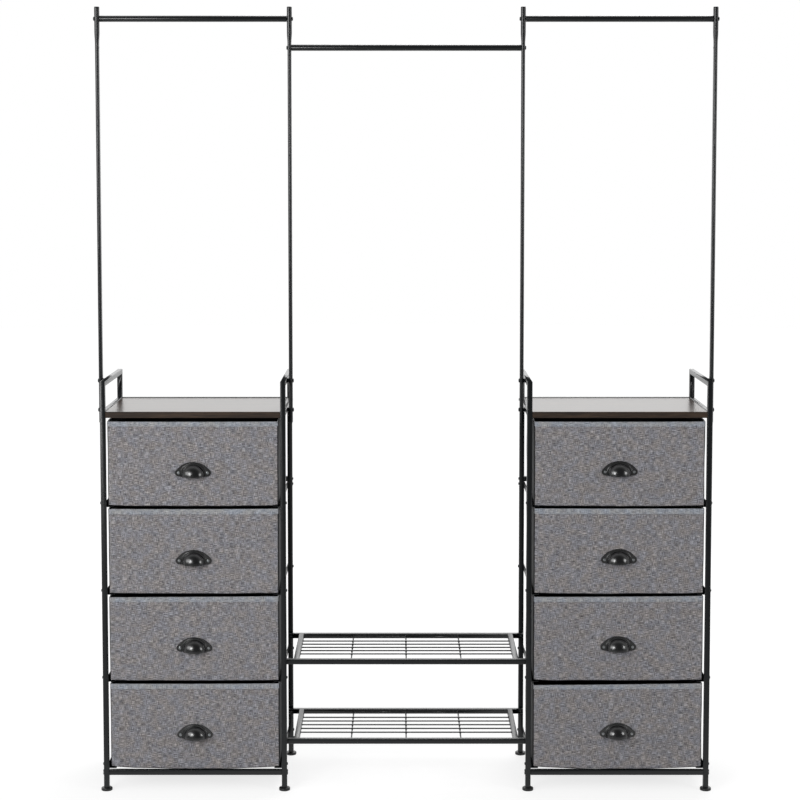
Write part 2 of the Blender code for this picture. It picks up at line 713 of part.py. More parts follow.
def drawers(fabric, pull_black):
    """Eight drawers, numbered from the top, each with its cup pull."""
    drawer = drawer_shape(fabric)
    pull = pull_shape(pull_black)
    for dresser, sign in DRESSERS.items():
        x = sign * DRESSER_X
        for number, base in enumerate(reversed(DRAWER_BASES), start=1):
            place(f"drawer_{dresser}_{number}_box", drawer.data, (x, FRONT, base))
            place(f"drawer_{dresser}_{number}_pull", pull.data, (x, FRONT - CLEAR, base + CUP_BASE))
    bpy.data.objects.remove(drawer, do_unlink=True)
    bpy.data.objects.remove(pull, do_unlink=True)


def hanging_rail(steel, plastic):
    """Four hanging posts with their caps and bolts, and the three rods between them."""
    posts = {}
    for dresser, side, x, outward, _ in frame_places():
        name = f"{dresser}_{side}"
        near = x + outward * (TUBE_HALF + SPACER_LENGTH)
        posts[name] = near + outward * POST_THICKNESS / 2
        hanging_post(f"hanging_post_{name}", posts[name], steel)
        post_cap(f"post_cap_{name}", posts[name], plastic)
        grip = POST_THICKNESS + SPACER_LENGTH
        bolts = (("upper", HANDLE_Z, BOLT_IN_HANDLE), ("lower", SIDE_RAIL_Z, TUBE + BOARD_BORE))
        for level, z, reach in bolts:
            seat = Vector((near + outward * POST_THICKNESS, HANGING_POST_Y, z))
            post_bolt(f"post_bolt_{name}_{level}", seat, -outward * X_AXIS, grip + reach, steel)
    spans = (
        ("left", "left_outer", "left_inner", HIGH_ROD_Z, POST_TOP_THICKNESS),
        ("centre", "left_inner", "right_inner", LOW_ROD_Z, POST_THICKNESS),
        ("right", "right_inner", "right_outer", HIGH_ROD_Z, POST_TOP_THICKNESS),
    )
    for name, start, end, z, thickness in spans:
        low_x = posts[start] + thickness / 2
        high_x = posts[end] - thickness / 2
        rod(f"hanging_rod_{name}", low_x, high_x, z, thickness, steel)


def feet(plastic):
    """A levelling foot under each post."""
    foot = foot_shape(plastic)
    for dresser, side, x, _, _ in frame_places():
        for end, y in (("front", FRONT_POST_Y), ("rear", REAR_POST_Y)):
            place(f"foot_{dresser}_{side}_{end}", foot.data, (x, y, 0))
    bpy.data.objects.remove(foot, do_unlink=True)


def build():
    """Makes every piece of the rack."""
    clear_scene()
    steel = paint("black powder-coated steel", (0.022, 0.026, 0.028), 0.38)
    wood = paint("dark walnut board", (0.052, 0.034, 0.025), 0.35)
    fabric = paint("grey heather fabric", (0.24, 0.24, 0.25), 0.95)
    plastic = paint("black plastic", (0.012, 0.012, 0.013), 0.45)
    pull_black = paint("black lacquered steel", (0.010, 0.010, 0.011), 0.30)
    dressers(steel, wood)
    drawers(fabric, pull_black)
    hanging_rail(steel, plastic)
    for level, z in SHELF_HEIGHTS.items():
        wire_shelf(f"wire_shelf_{level}", z, steel)
    feet(plastic)


build()
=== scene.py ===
"""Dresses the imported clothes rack: steel tube, heather-cloth drawers, boards and fittings.

Lengths are in metres unless a name ends in mm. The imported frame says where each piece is, and the
sizes that it can't give are fields of the classes below.
"""

import json
import logging
import math
from collections.abc import Iterable
from dataclasses import dataclass
from enum import Enum

import bmesh
import bpy
from mathutils import Matrix, Vector, noise

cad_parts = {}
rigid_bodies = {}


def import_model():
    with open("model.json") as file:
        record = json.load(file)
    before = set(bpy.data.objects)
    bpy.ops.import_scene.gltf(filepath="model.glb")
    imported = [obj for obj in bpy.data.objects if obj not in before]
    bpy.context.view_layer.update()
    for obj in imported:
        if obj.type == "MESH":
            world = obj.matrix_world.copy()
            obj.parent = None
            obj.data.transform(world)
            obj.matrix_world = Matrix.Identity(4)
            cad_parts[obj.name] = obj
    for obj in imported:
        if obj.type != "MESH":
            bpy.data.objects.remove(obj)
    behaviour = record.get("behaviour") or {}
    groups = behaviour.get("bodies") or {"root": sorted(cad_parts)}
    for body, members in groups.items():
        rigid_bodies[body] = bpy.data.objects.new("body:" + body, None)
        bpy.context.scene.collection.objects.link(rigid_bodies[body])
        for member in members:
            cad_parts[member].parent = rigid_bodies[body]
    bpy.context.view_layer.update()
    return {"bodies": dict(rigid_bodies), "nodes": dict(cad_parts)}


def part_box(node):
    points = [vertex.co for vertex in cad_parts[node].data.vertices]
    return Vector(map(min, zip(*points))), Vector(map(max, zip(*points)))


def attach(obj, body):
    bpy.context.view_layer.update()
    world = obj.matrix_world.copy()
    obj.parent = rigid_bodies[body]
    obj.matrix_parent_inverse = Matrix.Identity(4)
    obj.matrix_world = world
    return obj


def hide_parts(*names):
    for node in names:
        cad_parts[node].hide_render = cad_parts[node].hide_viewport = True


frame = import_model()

logging.basicConfig(level=logging.INFO, format="%(message)s")
log = logging.getLogger("clothes_rack")

FRAME_BODY = "frame"
CLOTH_MAP = "cloth"
SAME_POINT = 1e-6
MM = 0.001

X_AXIS = Vector((1, 0, 0))
Y_AXIS = Vector((0, 1, 0))
Z_AXIS = Vector((0, 0, 1))


class Dresser(Enum):
    """The two drawer towers, with the side of the rack that each one stands on."""

    LEFT = -1
    RIGHT = 1


class Side(Enum):
    """The two side frames of a dresser: at the rack's end, or beside the shelves."""

    OUTER = 1
    INNER = -1


class Action(Enum):
    """What a tool shape does to a piece."""

    JOIN = "UNION"
    CUT = "DIFFERENCE"


class DrawerCloth(Enum):
    """The cloths and the thread of a drawer, by their material numbers."""

    FACE = 0
    LINING = 1
    THREAD = 2
    HEM_PAINTED_PALE = 3
    SIDING = 4


def place_name(dresser: Dresser, side: Side) -> str:
    """Returns a side frame's place as the frame's node names have it, such as left_outer."""
    return f"{dresser.name.lower()}_{side.name.lower()}"

# Materials


def linear(code: str) -> tuple[float, float, float, float]:
    """Turns an sRGB hex colour into linear light.

    Args:
        code: the colour as #rrggbb.

    Returns:
        Red, green, blue and a full alpha.
    """
    channels = [int(code[i : i + 2], 16) / 255 for i in (1, 3, 5)]
    lit = [c / 12.92 if c <= 0.04045 else ((c + 0.055) / 1.055) ** 2.4 for c in channels]
    return (lit[0], lit[1], lit[2], 1.0)


def add_node(
    tree: bpy.types.NodeTree,
    kind: str,
    settings: dict | None = None,
    inputs: dict | None = None,
) -> bpy.types.Node:
    """Adds a node with its settings and links.

    Args:
        tree: the node tree.
        kind: the node's type.
        settings: the node's own properties, and "stops" for a colour ramp, as (place, hex colour).
        inputs: values by input name or number, and the sockets that are linked to inputs.

    Returns:
        The new node.
    """
    node = tree.nodes.new(kind)
    for name, value in (settings or {}).items():
        if name == "stops":
            ramp = node.color_ramp.elements
            while len(ramp) < len(value):
                ramp.new(1.0)
            for element, (place, code) in zip(ramp, value):
                element.position = place
                element.color = linear(code)
        else:
            setattr(node, name, value)
    for key, value in (inputs or {}).items():
        if isinstance(value, bpy.types.NodeSocket):
            tree.links.new(value, node.inputs[key])
        else:
            node.inputs[key].default_value = value
    return node


@dataclass(frozen=True)
class Finish:
    """A real material and how its surface was made.

    Attributes:
        name: the material's name.
        slot: the record's material slot.
        colour: its main colour, as sRGB hex.
        roughness: how much its gloss is spread.
    """

    name: str
    slot: str
    colour: str
    roughness: float

    def material(self) -> bpy.types.Material:
        """Returns this finish as a material, made at its first use."""
        material = bpy.data.materials.get(self.name)
        if material is None:
            material = bpy.data.materials.new(self.name)
            material.use_nodes = True
            shader = material.node_tree.nodes["Principled BSDF"]
            shader.inputs["Base Color"].default_value = linear(self.colour)
            shader.inputs["Roughness"].default_value = self.roughness
            self.dress(material.node_tree, shader)
        return material

    def dress(self, tree: bpy.types.NodeTree, shader: bpy.types.Node) -> None:
        """Adds what the surface shows beyond its colour and gloss.

        Args:
            tree: the material's nodes.
            shader: its shader.
        """
    def relief(
        self,
        tree: bpy.types.NodeTree,
        shader: bpy.types.Node,
        height: bpy.types.NodeSocket,
        depth_mm: float,
        strength: float,
    ) -> None:
        """Links a height pattern to the shader as relief.

        Args:
            tree: the node tree.
            shader: the node that takes the relief.
            height: the pattern, 0 to 1.
            depth_mm: how deep the pattern goes.
            strength: how much of it shows.
        """
        inputs = {"Height": height, "Distance": depth_mm * MM, "Strength": strength}
        bump = add_node(tree, "ShaderNodeBump", inputs=inputs)
        tree.links.new(bump.outputs["Normal"], shader.inputs["Normal"])


@dataclass(frozen=True)
class Coated(Finish):
    """Powder coat, lacquer or moulded plastic: one colour over a fine orange peel.

    Attributes:
        grain_mm: the width of one swell of the skin, wider than the real 0.5 to 1 mm, which the
            render would turn into speckles.
        depth_mm: how high the swells are.
        patch_mm: the width of the patches where the coat came out glossier or duller.
        gloss_spread: how much the roughness changes from patch to patch.
        clear: the weight of a clear coat on top.
        clear_roughness: how much the clear coat's own gloss is spread.
    """

    grain_mm: float = 3.0
    depth_mm: float = 0.004
    patch_mm: float = 40.0
    gloss_spread: float = 0.03
    clear: float = 0.0
    clear_roughness: float = 0.18

    def dress(self, tree: bpy.types.NodeTree, shader: bpy.types.Node) -> None:
        """Adds the orange peel and the uneven gloss.

        Args:
            tree: the material's nodes.
            shader: its shader.
        """
        place = add_node(tree, "ShaderNodeTexCoord").outputs["Object"]
        inputs = {"Vector": place, "Scale": 1 / (self.grain_mm * MM), "Detail": 2.0}
        peel = add_node(tree, "ShaderNodeTexNoise", inputs=inputs)
        self.relief(tree, shader, peel.outputs["Fac"], self.depth_mm, strength=0.25)
        inputs = {"Vector": place, "Scale": 1 / (self.patch_mm * MM), "Detail": 3.0}
        patches = add_node(tree, "ShaderNodeTexNoise", inputs=inputs)
        inputs = {
            "Value": patches.outputs["Fac"],
            "To Min": self.roughness - self.gloss_spread,
            "To Max": self.roughness + self.gloss_spread,
        }
        gloss = add_node(tree, "ShaderNodeMapRange", inputs=inputs)
        tree.links.new(gloss.outputs["Result"], shader.inputs["Roughness"])
        shader.inputs["Coat Weight"].default_value = self.clear
        shader.inputs["Coat Roughness"].default_value = self.clear_roughness


@dataclass(frozen=True)
class PlatedSteel(Finish):
    """Turned screws and bolts with a thin plated skin, still a metal to the eye.

    Attributes:
        mark_mm: width of the turning marks.
        mark_depth_mm: how deep they are.
    """

    mark_mm: float = 0.6
    mark_depth_mm: float = 0.02

    def dress(self, tree: bpy.types.NodeTree, shader: bpy.types.Node) -> None:
        """Makes it a metal with faint turning marks.

        Args:
            tree: the material's nodes.
            shader: its shader.
        """
        shader.inputs["Metallic"].default_value = 1.0
        place = add_node(tree, "ShaderNodeTexCoord").outputs["Object"]
        inputs = {"Vector": place, "Scale": 1 / (self.mark_mm * MM), "Detail": 3.0}
        marks = add_node(tree, "ShaderNodeTexNoise", inputs=inputs)
        self.relief(tree, shader, marks.outputs["Fac"], self.mark_depth_mm, strength=0.4)


@dataclass(frozen=True)
class WalnutFoil(Finish):
    """Walnut-print melamine foil on board: long grain along the board and a satin lacquer.

    Attributes:
        dark: the colour of the pores.
        pale: the colour between them.
        tone_stops: where in the grain's pattern the dark, middle and pale colours stand.
        figure_mm: length and width of the broad figure.
        pore_mm: length and width of a pore, wider than real ones so that they show.
        pore_depth_mm: how deep the foil is pressed at a pore.
    """

    dark: str = "#1e1713"
    pale: str = "#4a3a2d"
    tone_stops: tuple[float, float, float] = (0.12, 0.24, 0.40)
    figure_mm: tuple[float, float] = (260.0, 14.0)
    pore_mm: tuple[float, float] = (38.0, 1.6)
    pore_depth_mm: float = 0.01

    def dress(self, tree: bpy.types.NodeTree, shader: bpy.types.Node) -> None:
        """Adds the figure and the pores.

        Args:
            tree: the material's nodes.
            shader: its shader.
        """
        place = add_node(tree, "ShaderNodeTexCoord").outputs["Object"]
        grains = []
        for long_mm, wide_mm in (self.figure_mm, self.pore_mm):
            scale = (1 / (long_mm * MM), 1 / (wide_mm * MM), 1 / (wide_mm * MM))
            spread = add_node(tree, "ShaderNodeMapping", inputs={"Vector": place, "Scale": scale})
            inputs = {"Vector": spread.outputs["Vector"], "Scale": 1.0, "Detail": 5.0, "Distortion": 0.7}
            grains.append(add_node(tree, "ShaderNodeTexNoise", inputs=inputs).outputs["Fac"])
        both = add_node(tree, "ShaderNodeMath", {"operation": "MULTIPLY"}, {0: grains[0], 1: grains[1]})
        stops = list(zip(self.tone_stops, (self.dark, self.colour, self.pale)))
        ramp = add_node(tree, "ShaderNodeValToRGB", {"stops": stops}, {"Fac": both.outputs[0]})
        tree.links.new(ramp.outputs["Color"], shader.inputs["Base Color"])
        self.relief(tree, shader, grains[1], self.pore_depth_mm, strength=0.3)


@dataclass(frozen=True)
class HeatherCloth(Finish):
    """Melange polyester, woven from mixed dark and light yarns, which gives a grey with short flecks.

    Attributes:
        dark: the darkest flecks.
        pale: the lightest flecks.
        tone_stops: where in the flecks' pattern the dark, middle and pale colours stand.
        warm: the tint where brown yarns gather.
        cool: the tint where blue ones do.
        dye_stops: where in the yarns' pattern the warm and the cool tint stand.
        fleck_mm: length and width of a fleck. Real yarns are about 0.5 mm, too fine for the
            render, so these are as wide as it needs to show them.
        yarn_mm: spacing of the fine weave between the flecks.
        shares: how much of the pattern is flecks across, flecks upwards and fine weave.
        dye_mm: width of the patches of warm and cool yarns.
        cloud_mm: width of the soft clouds of lighter and darker cloth.
        cloud_range: how dark and how light they are, where 1 changes nothing.
        weave_depth_mm: how deep the weave's relief goes.
    """

    dark: str = "#3c3c41"
    pale: str = "#d6d4d6"
    tone_stops: tuple[float, float, float] = (0.39, 0.50, 0.61)
    warm: str = "#fffaf5"
    cool: str = "#f5f8ff"
    dye_stops: tuple[float, float] = (0.38, 0.62)
    fleck_mm: tuple[float, float] = (13.0, 0.8)
    yarn_mm: float = 0.85
    shares: tuple[float, float, float] = (0.42, 0.28, 0.30)
    dye_mm: float = 26.0
    cloud_mm: float = 55.0
    cloud_range: tuple[float, float] = (0.90, 1.10)
    weave_depth_mm: float = 0.2

    def dress(self, tree: bpy.types.NodeTree, shader: bpy.types.Node) -> None:
        """Adds flecks along both yarn directions, the fine weave between them and soft clouds.

        Args:
            tree: the material's nodes.
            shader: its shader.
        """
        place = add_node(tree, "ShaderNodeUVMap", {"uv_map": CLOTH_MAP}).outputs["UV"]
        long, wide = (1 / (size * MM) for size in self.fleck_mm)
        yarn = 1 / (self.yarn_mm * MM)
        layers = ((long, wide), (wide, long), (yarn, yarn))
        total = None
        for (across, up), share in zip(layers, self.shares):
            inputs = {"Vector": place, "Scale": (across, up, 1.0)}
            spread = add_node(tree, "ShaderNodeMapping", inputs=inputs)
            inputs = {"Vector": spread.outputs["Vector"], "Scale": 1.0, "Detail": 1.5}
            fleck = add_node(tree, "ShaderNodeTexNoise", inputs=inputs).outputs["Fac"]
            weighed = {0: fleck, 1: share, 2: total if total else 0.0}
            total = add_node(tree, "ShaderNodeMath", {"operation": "MULTIPLY_ADD"}, weighed).outputs[0]
        stops = list(zip(self.tone_stops, (self.dark, self.colour, self.pale)))
        colour = add_node(tree, "ShaderNodeValToRGB", {"stops": stops}, {"Fac": total}).outputs["Color"]
        inputs = {"Vector": place, "Scale": 1 / (self.cloud_mm * MM), "Detail": 2.0}
        clouds = add_node(tree, "ShaderNodeTexNoise", inputs=inputs).outputs["Fac"]
        inputs = {"Value": clouds, "To Min": self.cloud_range[0], "To Max": self.cloud_range[1]}
        tones = add_node(tree, "ShaderNodeMapRange", inputs=inputs).outputs["Result"]
        inputs = {"Vector": place, "Scale": 1 / (self.dye_mm * MM), "Detail": 3.0}
        dyes = add_node(tree, "ShaderNodeTexNoise", inputs=inputs).outputs["Fac"]
        stops = list(zip(self.dye_stops, (self.warm, self.cool)))
        hues = add_node(tree, "ShaderNodeValToRGB", {"stops": stops}, {"Fac": dyes}).outputs["Color"]
        settings = {"data_type": "RGBA", "blend_type": "MULTIPLY"}
        for tint in (tones, hues):
            colour = add_node(tree, "ShaderNodeMix", settings, {0: 1.0, 6: colour, 7: tint}).outputs[2]
        tree.links.new(colour, shader.inputs["Base Color"])
        self.relief(tree, shader, total, self.weave_depth_mm, strength=0.5)
        shader.inputs["Sheen Weight"].default_value = 0.12
        shader.inputs["Sheen Roughness"].default_value = 0.5


@dataclass(frozen=True)
class NonwovenLining(Finish):
    """Black spunbond cloth, pressed in a fine grid of dimples that keeps it matt.

    Attributes:
        dimple_mm: spacing of the dimples.
        dimple_depth_mm: how deep they are.
    """

    dimple_mm: float = 1.6
    dimple_depth_mm: float = 0.2

    def dress(self, tree: bpy.types.NodeTree, shader: bpy.types.Node) -> None:
        """Adds the dimples.

        Args:
            tree: the material's nodes.
            shader: its shader.
        """
        place = add_node(tree, "ShaderNodeUVMap", {"uv_map": CLOTH_MAP}).outputs["UV"]
        inputs = {"Vector": place, "Scale": 1 / (self.dimple_mm * MM), "Randomness": 0.15}
        dimples = add_node(tree, "ShaderNodeTexVoronoi", inputs=inputs)
        self.relief(tree, shader, dimples.outputs["Distance"], self.dimple_depth_mm, strength=0.5)


@dataclass(frozen=True)
class TwistedThread(Finish):
    """Two-ply sewing thread: its twist lays fine slanting bands on each stitch.

    Attributes:
        twist_mm: length of one turn of the twist along the thread.
        ply_depth_mm: how deep the groove between the plies is.
    """

    twist_mm: float = 1.0
    ply_depth_mm: float = 0.1

    def dress(self, tree: bpy.types.NodeTree, shader: bpy.types.Node) -> None:
        """Adds the twist.

        Args:
            tree: the material's nodes.
            shader: its shader.
        """
        place = add_node(tree, "ShaderNodeUVMap", {"uv_map": CLOTH_MAP}).outputs["UV"]
        # At scale 1 the diagonal bands of a wave texture repeat every pi / 5 units along an axis.
        inputs = {"Vector": place, "Scale": math.pi / (5 * self.twist_mm * MM)}
        bands = add_node(tree, "ShaderNodeTexWave", {"bands_direction": "DIAGONAL"}, inputs)
        self.relief(tree, shader, bands.outputs["Fac"], self.ply_depth_mm, strength=0.6)


# Satin black that leaves one soft-edged highlight along each tube.
STEEL = Coated("satin black powder-coated steel", "black_powder_coat", "#121517", 0.28)
# Duller than the steel, with a slightly uneven moulded skin.
PLASTIC = Coated(
    "moulded black polypropylene", "black_plastic", "#151617", 0.42, grain_mm=1.5, depth_mm=0.008
)
# Deep black under a clear gloss, which gives each cup its small bright highlight.
LACQUER = Coated(
    "sprayed black lacquer on pressed steel",
    "black_lacquer",
    "#0b0c0d",
    0.26,
    depth_mm=0.001,
    clear=1.0,
)
# Dark metal that catches a little more light than the powder coat round it.
SCREWS = PlatedSteel("black zinc-plated screw steel", "black_powder_coat", "#303335", 0.34)
# Metal whose colour is painted bright, a painted highlight that makes the two light spots on each pull.
PULL_SCREWS_PAINTED_BRIGHT = PlatedSteel("nickel-plated screw steel", "black_lacquer", "#a3a6a8", 0.30)
# Dark brown with fine streaks along the board and a satin sheen.
WALNUT = WalnutFoil("walnut-print melamine board", "walnut_board", "#352a22", 0.28)
# Matt mid grey, flecked with short dark and pale yarns.
CLOTH = HeatherCloth("woven grey heather polyester", "grey_fabric", "#7c7a7c", 0.94)
# The same cloth, folded double, with calmer flecks; its colour is painted paler and bluer than the face
# cloth, a painted reflection of the bright surroundings on the hem.
HEM_PAINTED_PALE = HeatherCloth(
    "folded hem of grey heather polyester",
    "grey_fabric",
    "#94989d",
    0.92,
    dark="#56595f",
    pale="#d3d6da",
)
# Flat near-black, seen as thin dark lines beside the fronts, and inside an open drawer.
SIDING = NonwovenLining("black spunbond side cloth", "grey_fabric", "#17181a", 0.95)
LINING = NonwovenLining("black spunbond lining", "grey_fabric", "#1b1c1e", 0.95)
# Dull grey, a little darker than the hem that it holds.
THREAD = TwistedThread("grey polyester sewing thread", "grey_fabric", "#6f6f73", 0.8)

# The order is that of DrawerCloth's numbers, which a drawer's faces carry.
DRAWER_FINISHES = {
    DrawerCloth.FACE: CLOTH,
    DrawerCloth.LINING: LINING,
    DrawerCloth.THREAD: THREAD,
    DrawerCloth.HEM_PAINTED_PALE: HEM_PAINTED_PALE,
    DrawerCloth.SIDING: SIDING,
}


# Pieces


def settle(bm: bmesh.types.BMesh) -> None:
    """Puts a shape's edges and faces in an order that is the same in each run.

    Blender's extrude and spin lay them down in an order that changes from run to run.

    Args:
        bm: the shape.
    """
    bm.verts.index_update()
    for parts in (bm.edges, bm.faces):
        ordered = sorted(parts, key=lambda part: sorted(v.index for v in part.verts))
        ranks = {part: rank for rank, part in enumerate(ordered)}
        parts.sort(key=ranks.get)
        parts.index_update()


def new_object(name: str, bm: bmesh.types.BMesh) -> bpy.types.Object:
    """Makes an object at the origin from a bmesh.

    Args:
        name: the object's name.
        bm: its shape, which is used up.

    Returns:
        The object.
    """
    mesh = bpy.data.meshes.new(name)
    settle(bm)
    bm.to_mesh(mesh)
    bm.free()
    item = bpy.data.objects.new(name, mesh)
    bpy.context.scene.collection.objects.link(item)
    return item


def tidy(bm: bmesh.types.BMesh) -> bmesh.types.BMesh:
    """Merges a shape's doubled points and turns its faces outwards.

    Args:
        bm: the shape.

    Returns:
        The same bmesh.
    """
    bmesh.ops.remove_doubles(bm, verts=bm.verts[:], dist=SAME_POINT)
    bmesh.ops.recalc_face_normals(bm, faces=bm.faces[:])
    settle(bm)
    return bm


def shade(item: bpy.types.Object, degrees: float) -> None:
    """Shades a piece smooth, except at edges sharper than an angle."""
    item.data.shade_smooth()
    item.data.set_sharp_from_angle(angle=math.radians(degrees))


def shade_evenly(item: bpy.types.Object) -> None:
    """Lets wide faces set the shading at their edges, so that flats beside small rounds look flat."""
    even = item.modifiers.new("even shading", "WEIGHTED_NORMAL")
    even.keep_sharp = True


def add_piece(
    name: str,
    bm: bmesh.types.BMesh,
    body: str,
    finishes: Iterable[Finish],
    replaces: Iterable[str] = (),
    degrees: float = 40.0,
) -> bpy.types.Object:
    """Turns a finished bmesh into a piece of the rack.

    Args:
        name: the piece's name.
        bm: its shape, in the rack's own place.
        body: the body that it moves with.
        finishes: its finishes, in the order of its faces' material numbers.
        replaces: the frame's nodes that it stands for.
        degrees: edges sharper than this stay sharp.

    Returns:
        The piece.
    """
    finishes, replaces = list(finishes), list(replaces)
    item = new_object(name, bm)
    for finish in finishes:
        item.data.materials.append(finish.material())
    shade(item, degrees)
    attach(item, body)
    if replaces:
        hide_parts(*replaces)
    log.info("%s: %d faces, %s", name, len(item.data.polygons), finishes[0].name)
    return item


def carve(item: bpy.types.Object, tool_bm: bmesh.types.BMesh, action: Action) -> None:
    """Joins a shape to an object or cuts it out, and keeps the result as the object's mesh.

    Args:
        item: the object that is changed.
        tool_bm: the shape, which is used up.
        action: whether the shape is joined or cut out.
    """
    tool = new_object("tool", tool_bm)
    modifier = item.modifiers.new("carve", "BOOLEAN")
    modifier.operation = action.value
    modifier.solver = "EXACT"
    modifier.object = tool
    graph = bpy.context.evaluated_depsgraph_get()
    made = bpy.data.meshes.new_from_object(item.evaluated_get(graph))
    item.modifiers.clear()
    item.data = made
    bpy.data.objects.remove(tool, do_unlink=True)


def take(item: bpy.types.Object) -> bmesh.types.BMesh:
    """Turns a helper object into a bmesh.

    Args:
        item: the object, which is removed.

    Returns:
        Its shape.
    """
    bm = bmesh.new()
    bm.from_mesh(item.data)
    bpy.data.objects.remove(item, do_unlink=True)
    return bm


def mesh_of(item: bpy.types.Object) -> bpy.types.Mesh:
    """Takes a helper object's mesh and removes the object.

    Args:
        item: the object.

    Returns:
        Its mesh.
    """
    mesh = item.data
    bpy.data.objects.remove(item, do_unlink=True)
    return mesh


def stamp(bm: bmesh.types.BMesh, master: bpy.types.Mesh, place: Matrix) -> None:
    """Adds a copy of a mesh to a bmesh.

    Args:
        bm: the bmesh that takes the copy.
        master: the mesh.
        place: where the copy goes.
    """
    copy = master.copy()
    copy.transform(place)
    bm.from_mesh(copy)
    bpy.data.meshes.remove(copy)


def facing(point: Vector, direction: Vector) -> Matrix:
    """Returns a place at a point that turns a shape's +Z to a direction."""
    return Matrix.Translation(point) @ direction.to_track_quat("Z", "Y").to_matrix().to_4x4()


def close_rings(bm: bmesh.types.BMesh) -> None:
    """Joins a bmesh's stacked rings into one closed tube.

    Args:
        bm: the bmesh, which holds nothing but the rings.
    """
    bmesh.ops.bridge_loops(bm, edges=bm.edges[:])
    bmesh.ops.holes_fill(bm, edges=[e for e in bm.edges if e.is_boundary], sides=0)
    bmesh.ops.recalc_face_normals(bm, faces=bm.faces[:])


def turned(bm: bmesh.types.BMesh, profile: Iterable[tuple[float, float]], sides: int) -> None:
    """Spins a profile round Z.

    Args:
        bm: the bmesh that takes the shape.
        profile: radius and height of each point, from the axis and back to it.
        sides: the number of flats.
    """
    verts = [bm.verts.new((radius, 0, height)) for radius, height in profile]
    edges = [bm.edges.new(pair) for pair in zip(verts, verts[1:])]
    bmesh.ops.spin(
        bm, geom=verts + edges, cent=(0, 0, 0), axis=Z_AXIS, angle=math.tau, steps=sides, use_merge=True
    )
    tidy(bm)


def bar(
    bm: bmesh.types.BMesh, start: Vector, end: Vector, radius: float, sides: int, edge: float
) -> None:
    """A round bar between two points.

    Args:
        bm: the bmesh that takes the shape.
        start: the middle of one end.
        end: the middle of the other.
        radius: the bar's radius.
        sides: the number of flats.
        edge: how far its end edges are rounded.
    """
    length = (end - start).length
    before = set(bm.faces)
    made = bmesh.ops.create_cone(
        bm, cap_ends=True, segments=sides, radius1=radius, radius2=radius, depth=length
    )
    place = facing((start + end) / 2, end - start)
    bmesh.ops.transform(bm, matrix=place, verts=made["verts"])
    ends = {f for f in bm.faces if f not in before and len(f.verts) > 4}
    rims = [e for e in bm.edges if not ends.isdisjoint(e.link_faces)]
    bmesh.ops.bevel(
        bm, geom=rims, offset=edge, segments=2, affect="EDGES", profile=0.5, material=-1
    )


@dataclass
class CrossHead:
    """A pan-head screw's head with a shallow cross recess, its seat at the origin and facing +Z.

    Attributes:
        radius: the head's radius.
        height: its height.
        recess_depth: how deep the cross is.
        recess_arm: how far its arms reach from the middle.
        recess_width: half the width of an arm.
        sides: the number of flats round the head.
    """

    radius: float = 0.0035
    height: float = 0.0021
    recess_depth: float = 0.00035
    recess_arm: float = 0.0019
    recess_width: float = 0.0007
    sides: int = 20

    def mesh(self) -> bpy.types.Mesh:
        """Makes the head: a low dome, then the two arms of the cross cut into it.

        Returns:
            The head's mesh.
        """
        bm = bmesh.new()
        r, h = self.radius, self.height
        turned(bm, [(0, 0), (r, 0), (r, 0.4 * h), (0.88 * r, 0.8 * h), (0.6 * r, h), (0, h)], self.sides)
        item = new_object("cross_head", bm)
        arm, half = self.recess_arm, self.recess_width
        for length, width in ((arm, half), (half, arm)):
            tool = bmesh.new()
            cube = bmesh.ops.create_cube(tool, size=1.0)["verts"]
            size = Vector((2 * length, 2 * width, 2 * self.recess_depth))
            bmesh.ops.scale(tool, vec=size, verts=cube)
            bmesh.ops.translate(tool, vec=Z_AXIS * h, verts=cube)
            carve(item, tool, Action.CUT)
        return mesh_of(item)


@dataclass
class ButtonBolt:
    """A button-head bolt with a hex socket, its seat at the origin, its head towards +Z.

    Attributes:
        head_radius: the head's radius.
        head_height: its height.
        shank_radius: the shank's radius.
        tip: height of the shank's chamfered end.
        socket_radius: radius of the hex socket over its corners.
        socket_depth: how deep it is.
        sides: the number of flats round the head.
        gap: how far the head stands off its seat.
    """

    head_radius: float = 0.0052
    head_height: float = 0.0024
    shank_radius: float = 0.0025
    tip: float = 0.0006
    socket_radius: float = 0.0019
    socket_depth: float = 0.0013
    sides: int = 28
    gap: float = 0.0003

    def mesh(self, shank: float) -> bpy.types.Mesh:
        """Makes the bolt.

        Args:
            shank: the shank's length under the head.

        Returns:
            The bolt's mesh.
        """
        bm = bmesh.new()
        r, low, high = self.head_radius, self.gap, self.gap + self.head_height
        rise = high - low
        profile = [
            (0, -shank),
            (0.8 * self.shank_radius, -shank),
            (self.shank_radius, -shank + self.tip),
            (self.shank_radius, low),
            (r, low),
            (r, low + 0.25 * rise),
            (0.93 * r, low + 0.55 * rise),
            (0.76 * r, low + 0.86 * rise),
            (0.55 * r, high),
            (0, high),
        ]
        turned(bm, profile, self.sides)
        item = new_object("button_bolt", bm)
        tool = bmesh.new()
        bmesh.ops.create_cone(
            tool,
            cap_ends=True,
            segments=6,
            radius1=self.socket_radius,
            radius2=self.socket_radius,
            depth=2 * self.socket_depth,
        )
        bmesh.ops.translate(tool, vec=Z_AXIS * high, verts=tool.verts[:])
        carve(item, tool, Action.CUT)
        return mesh_of(item)


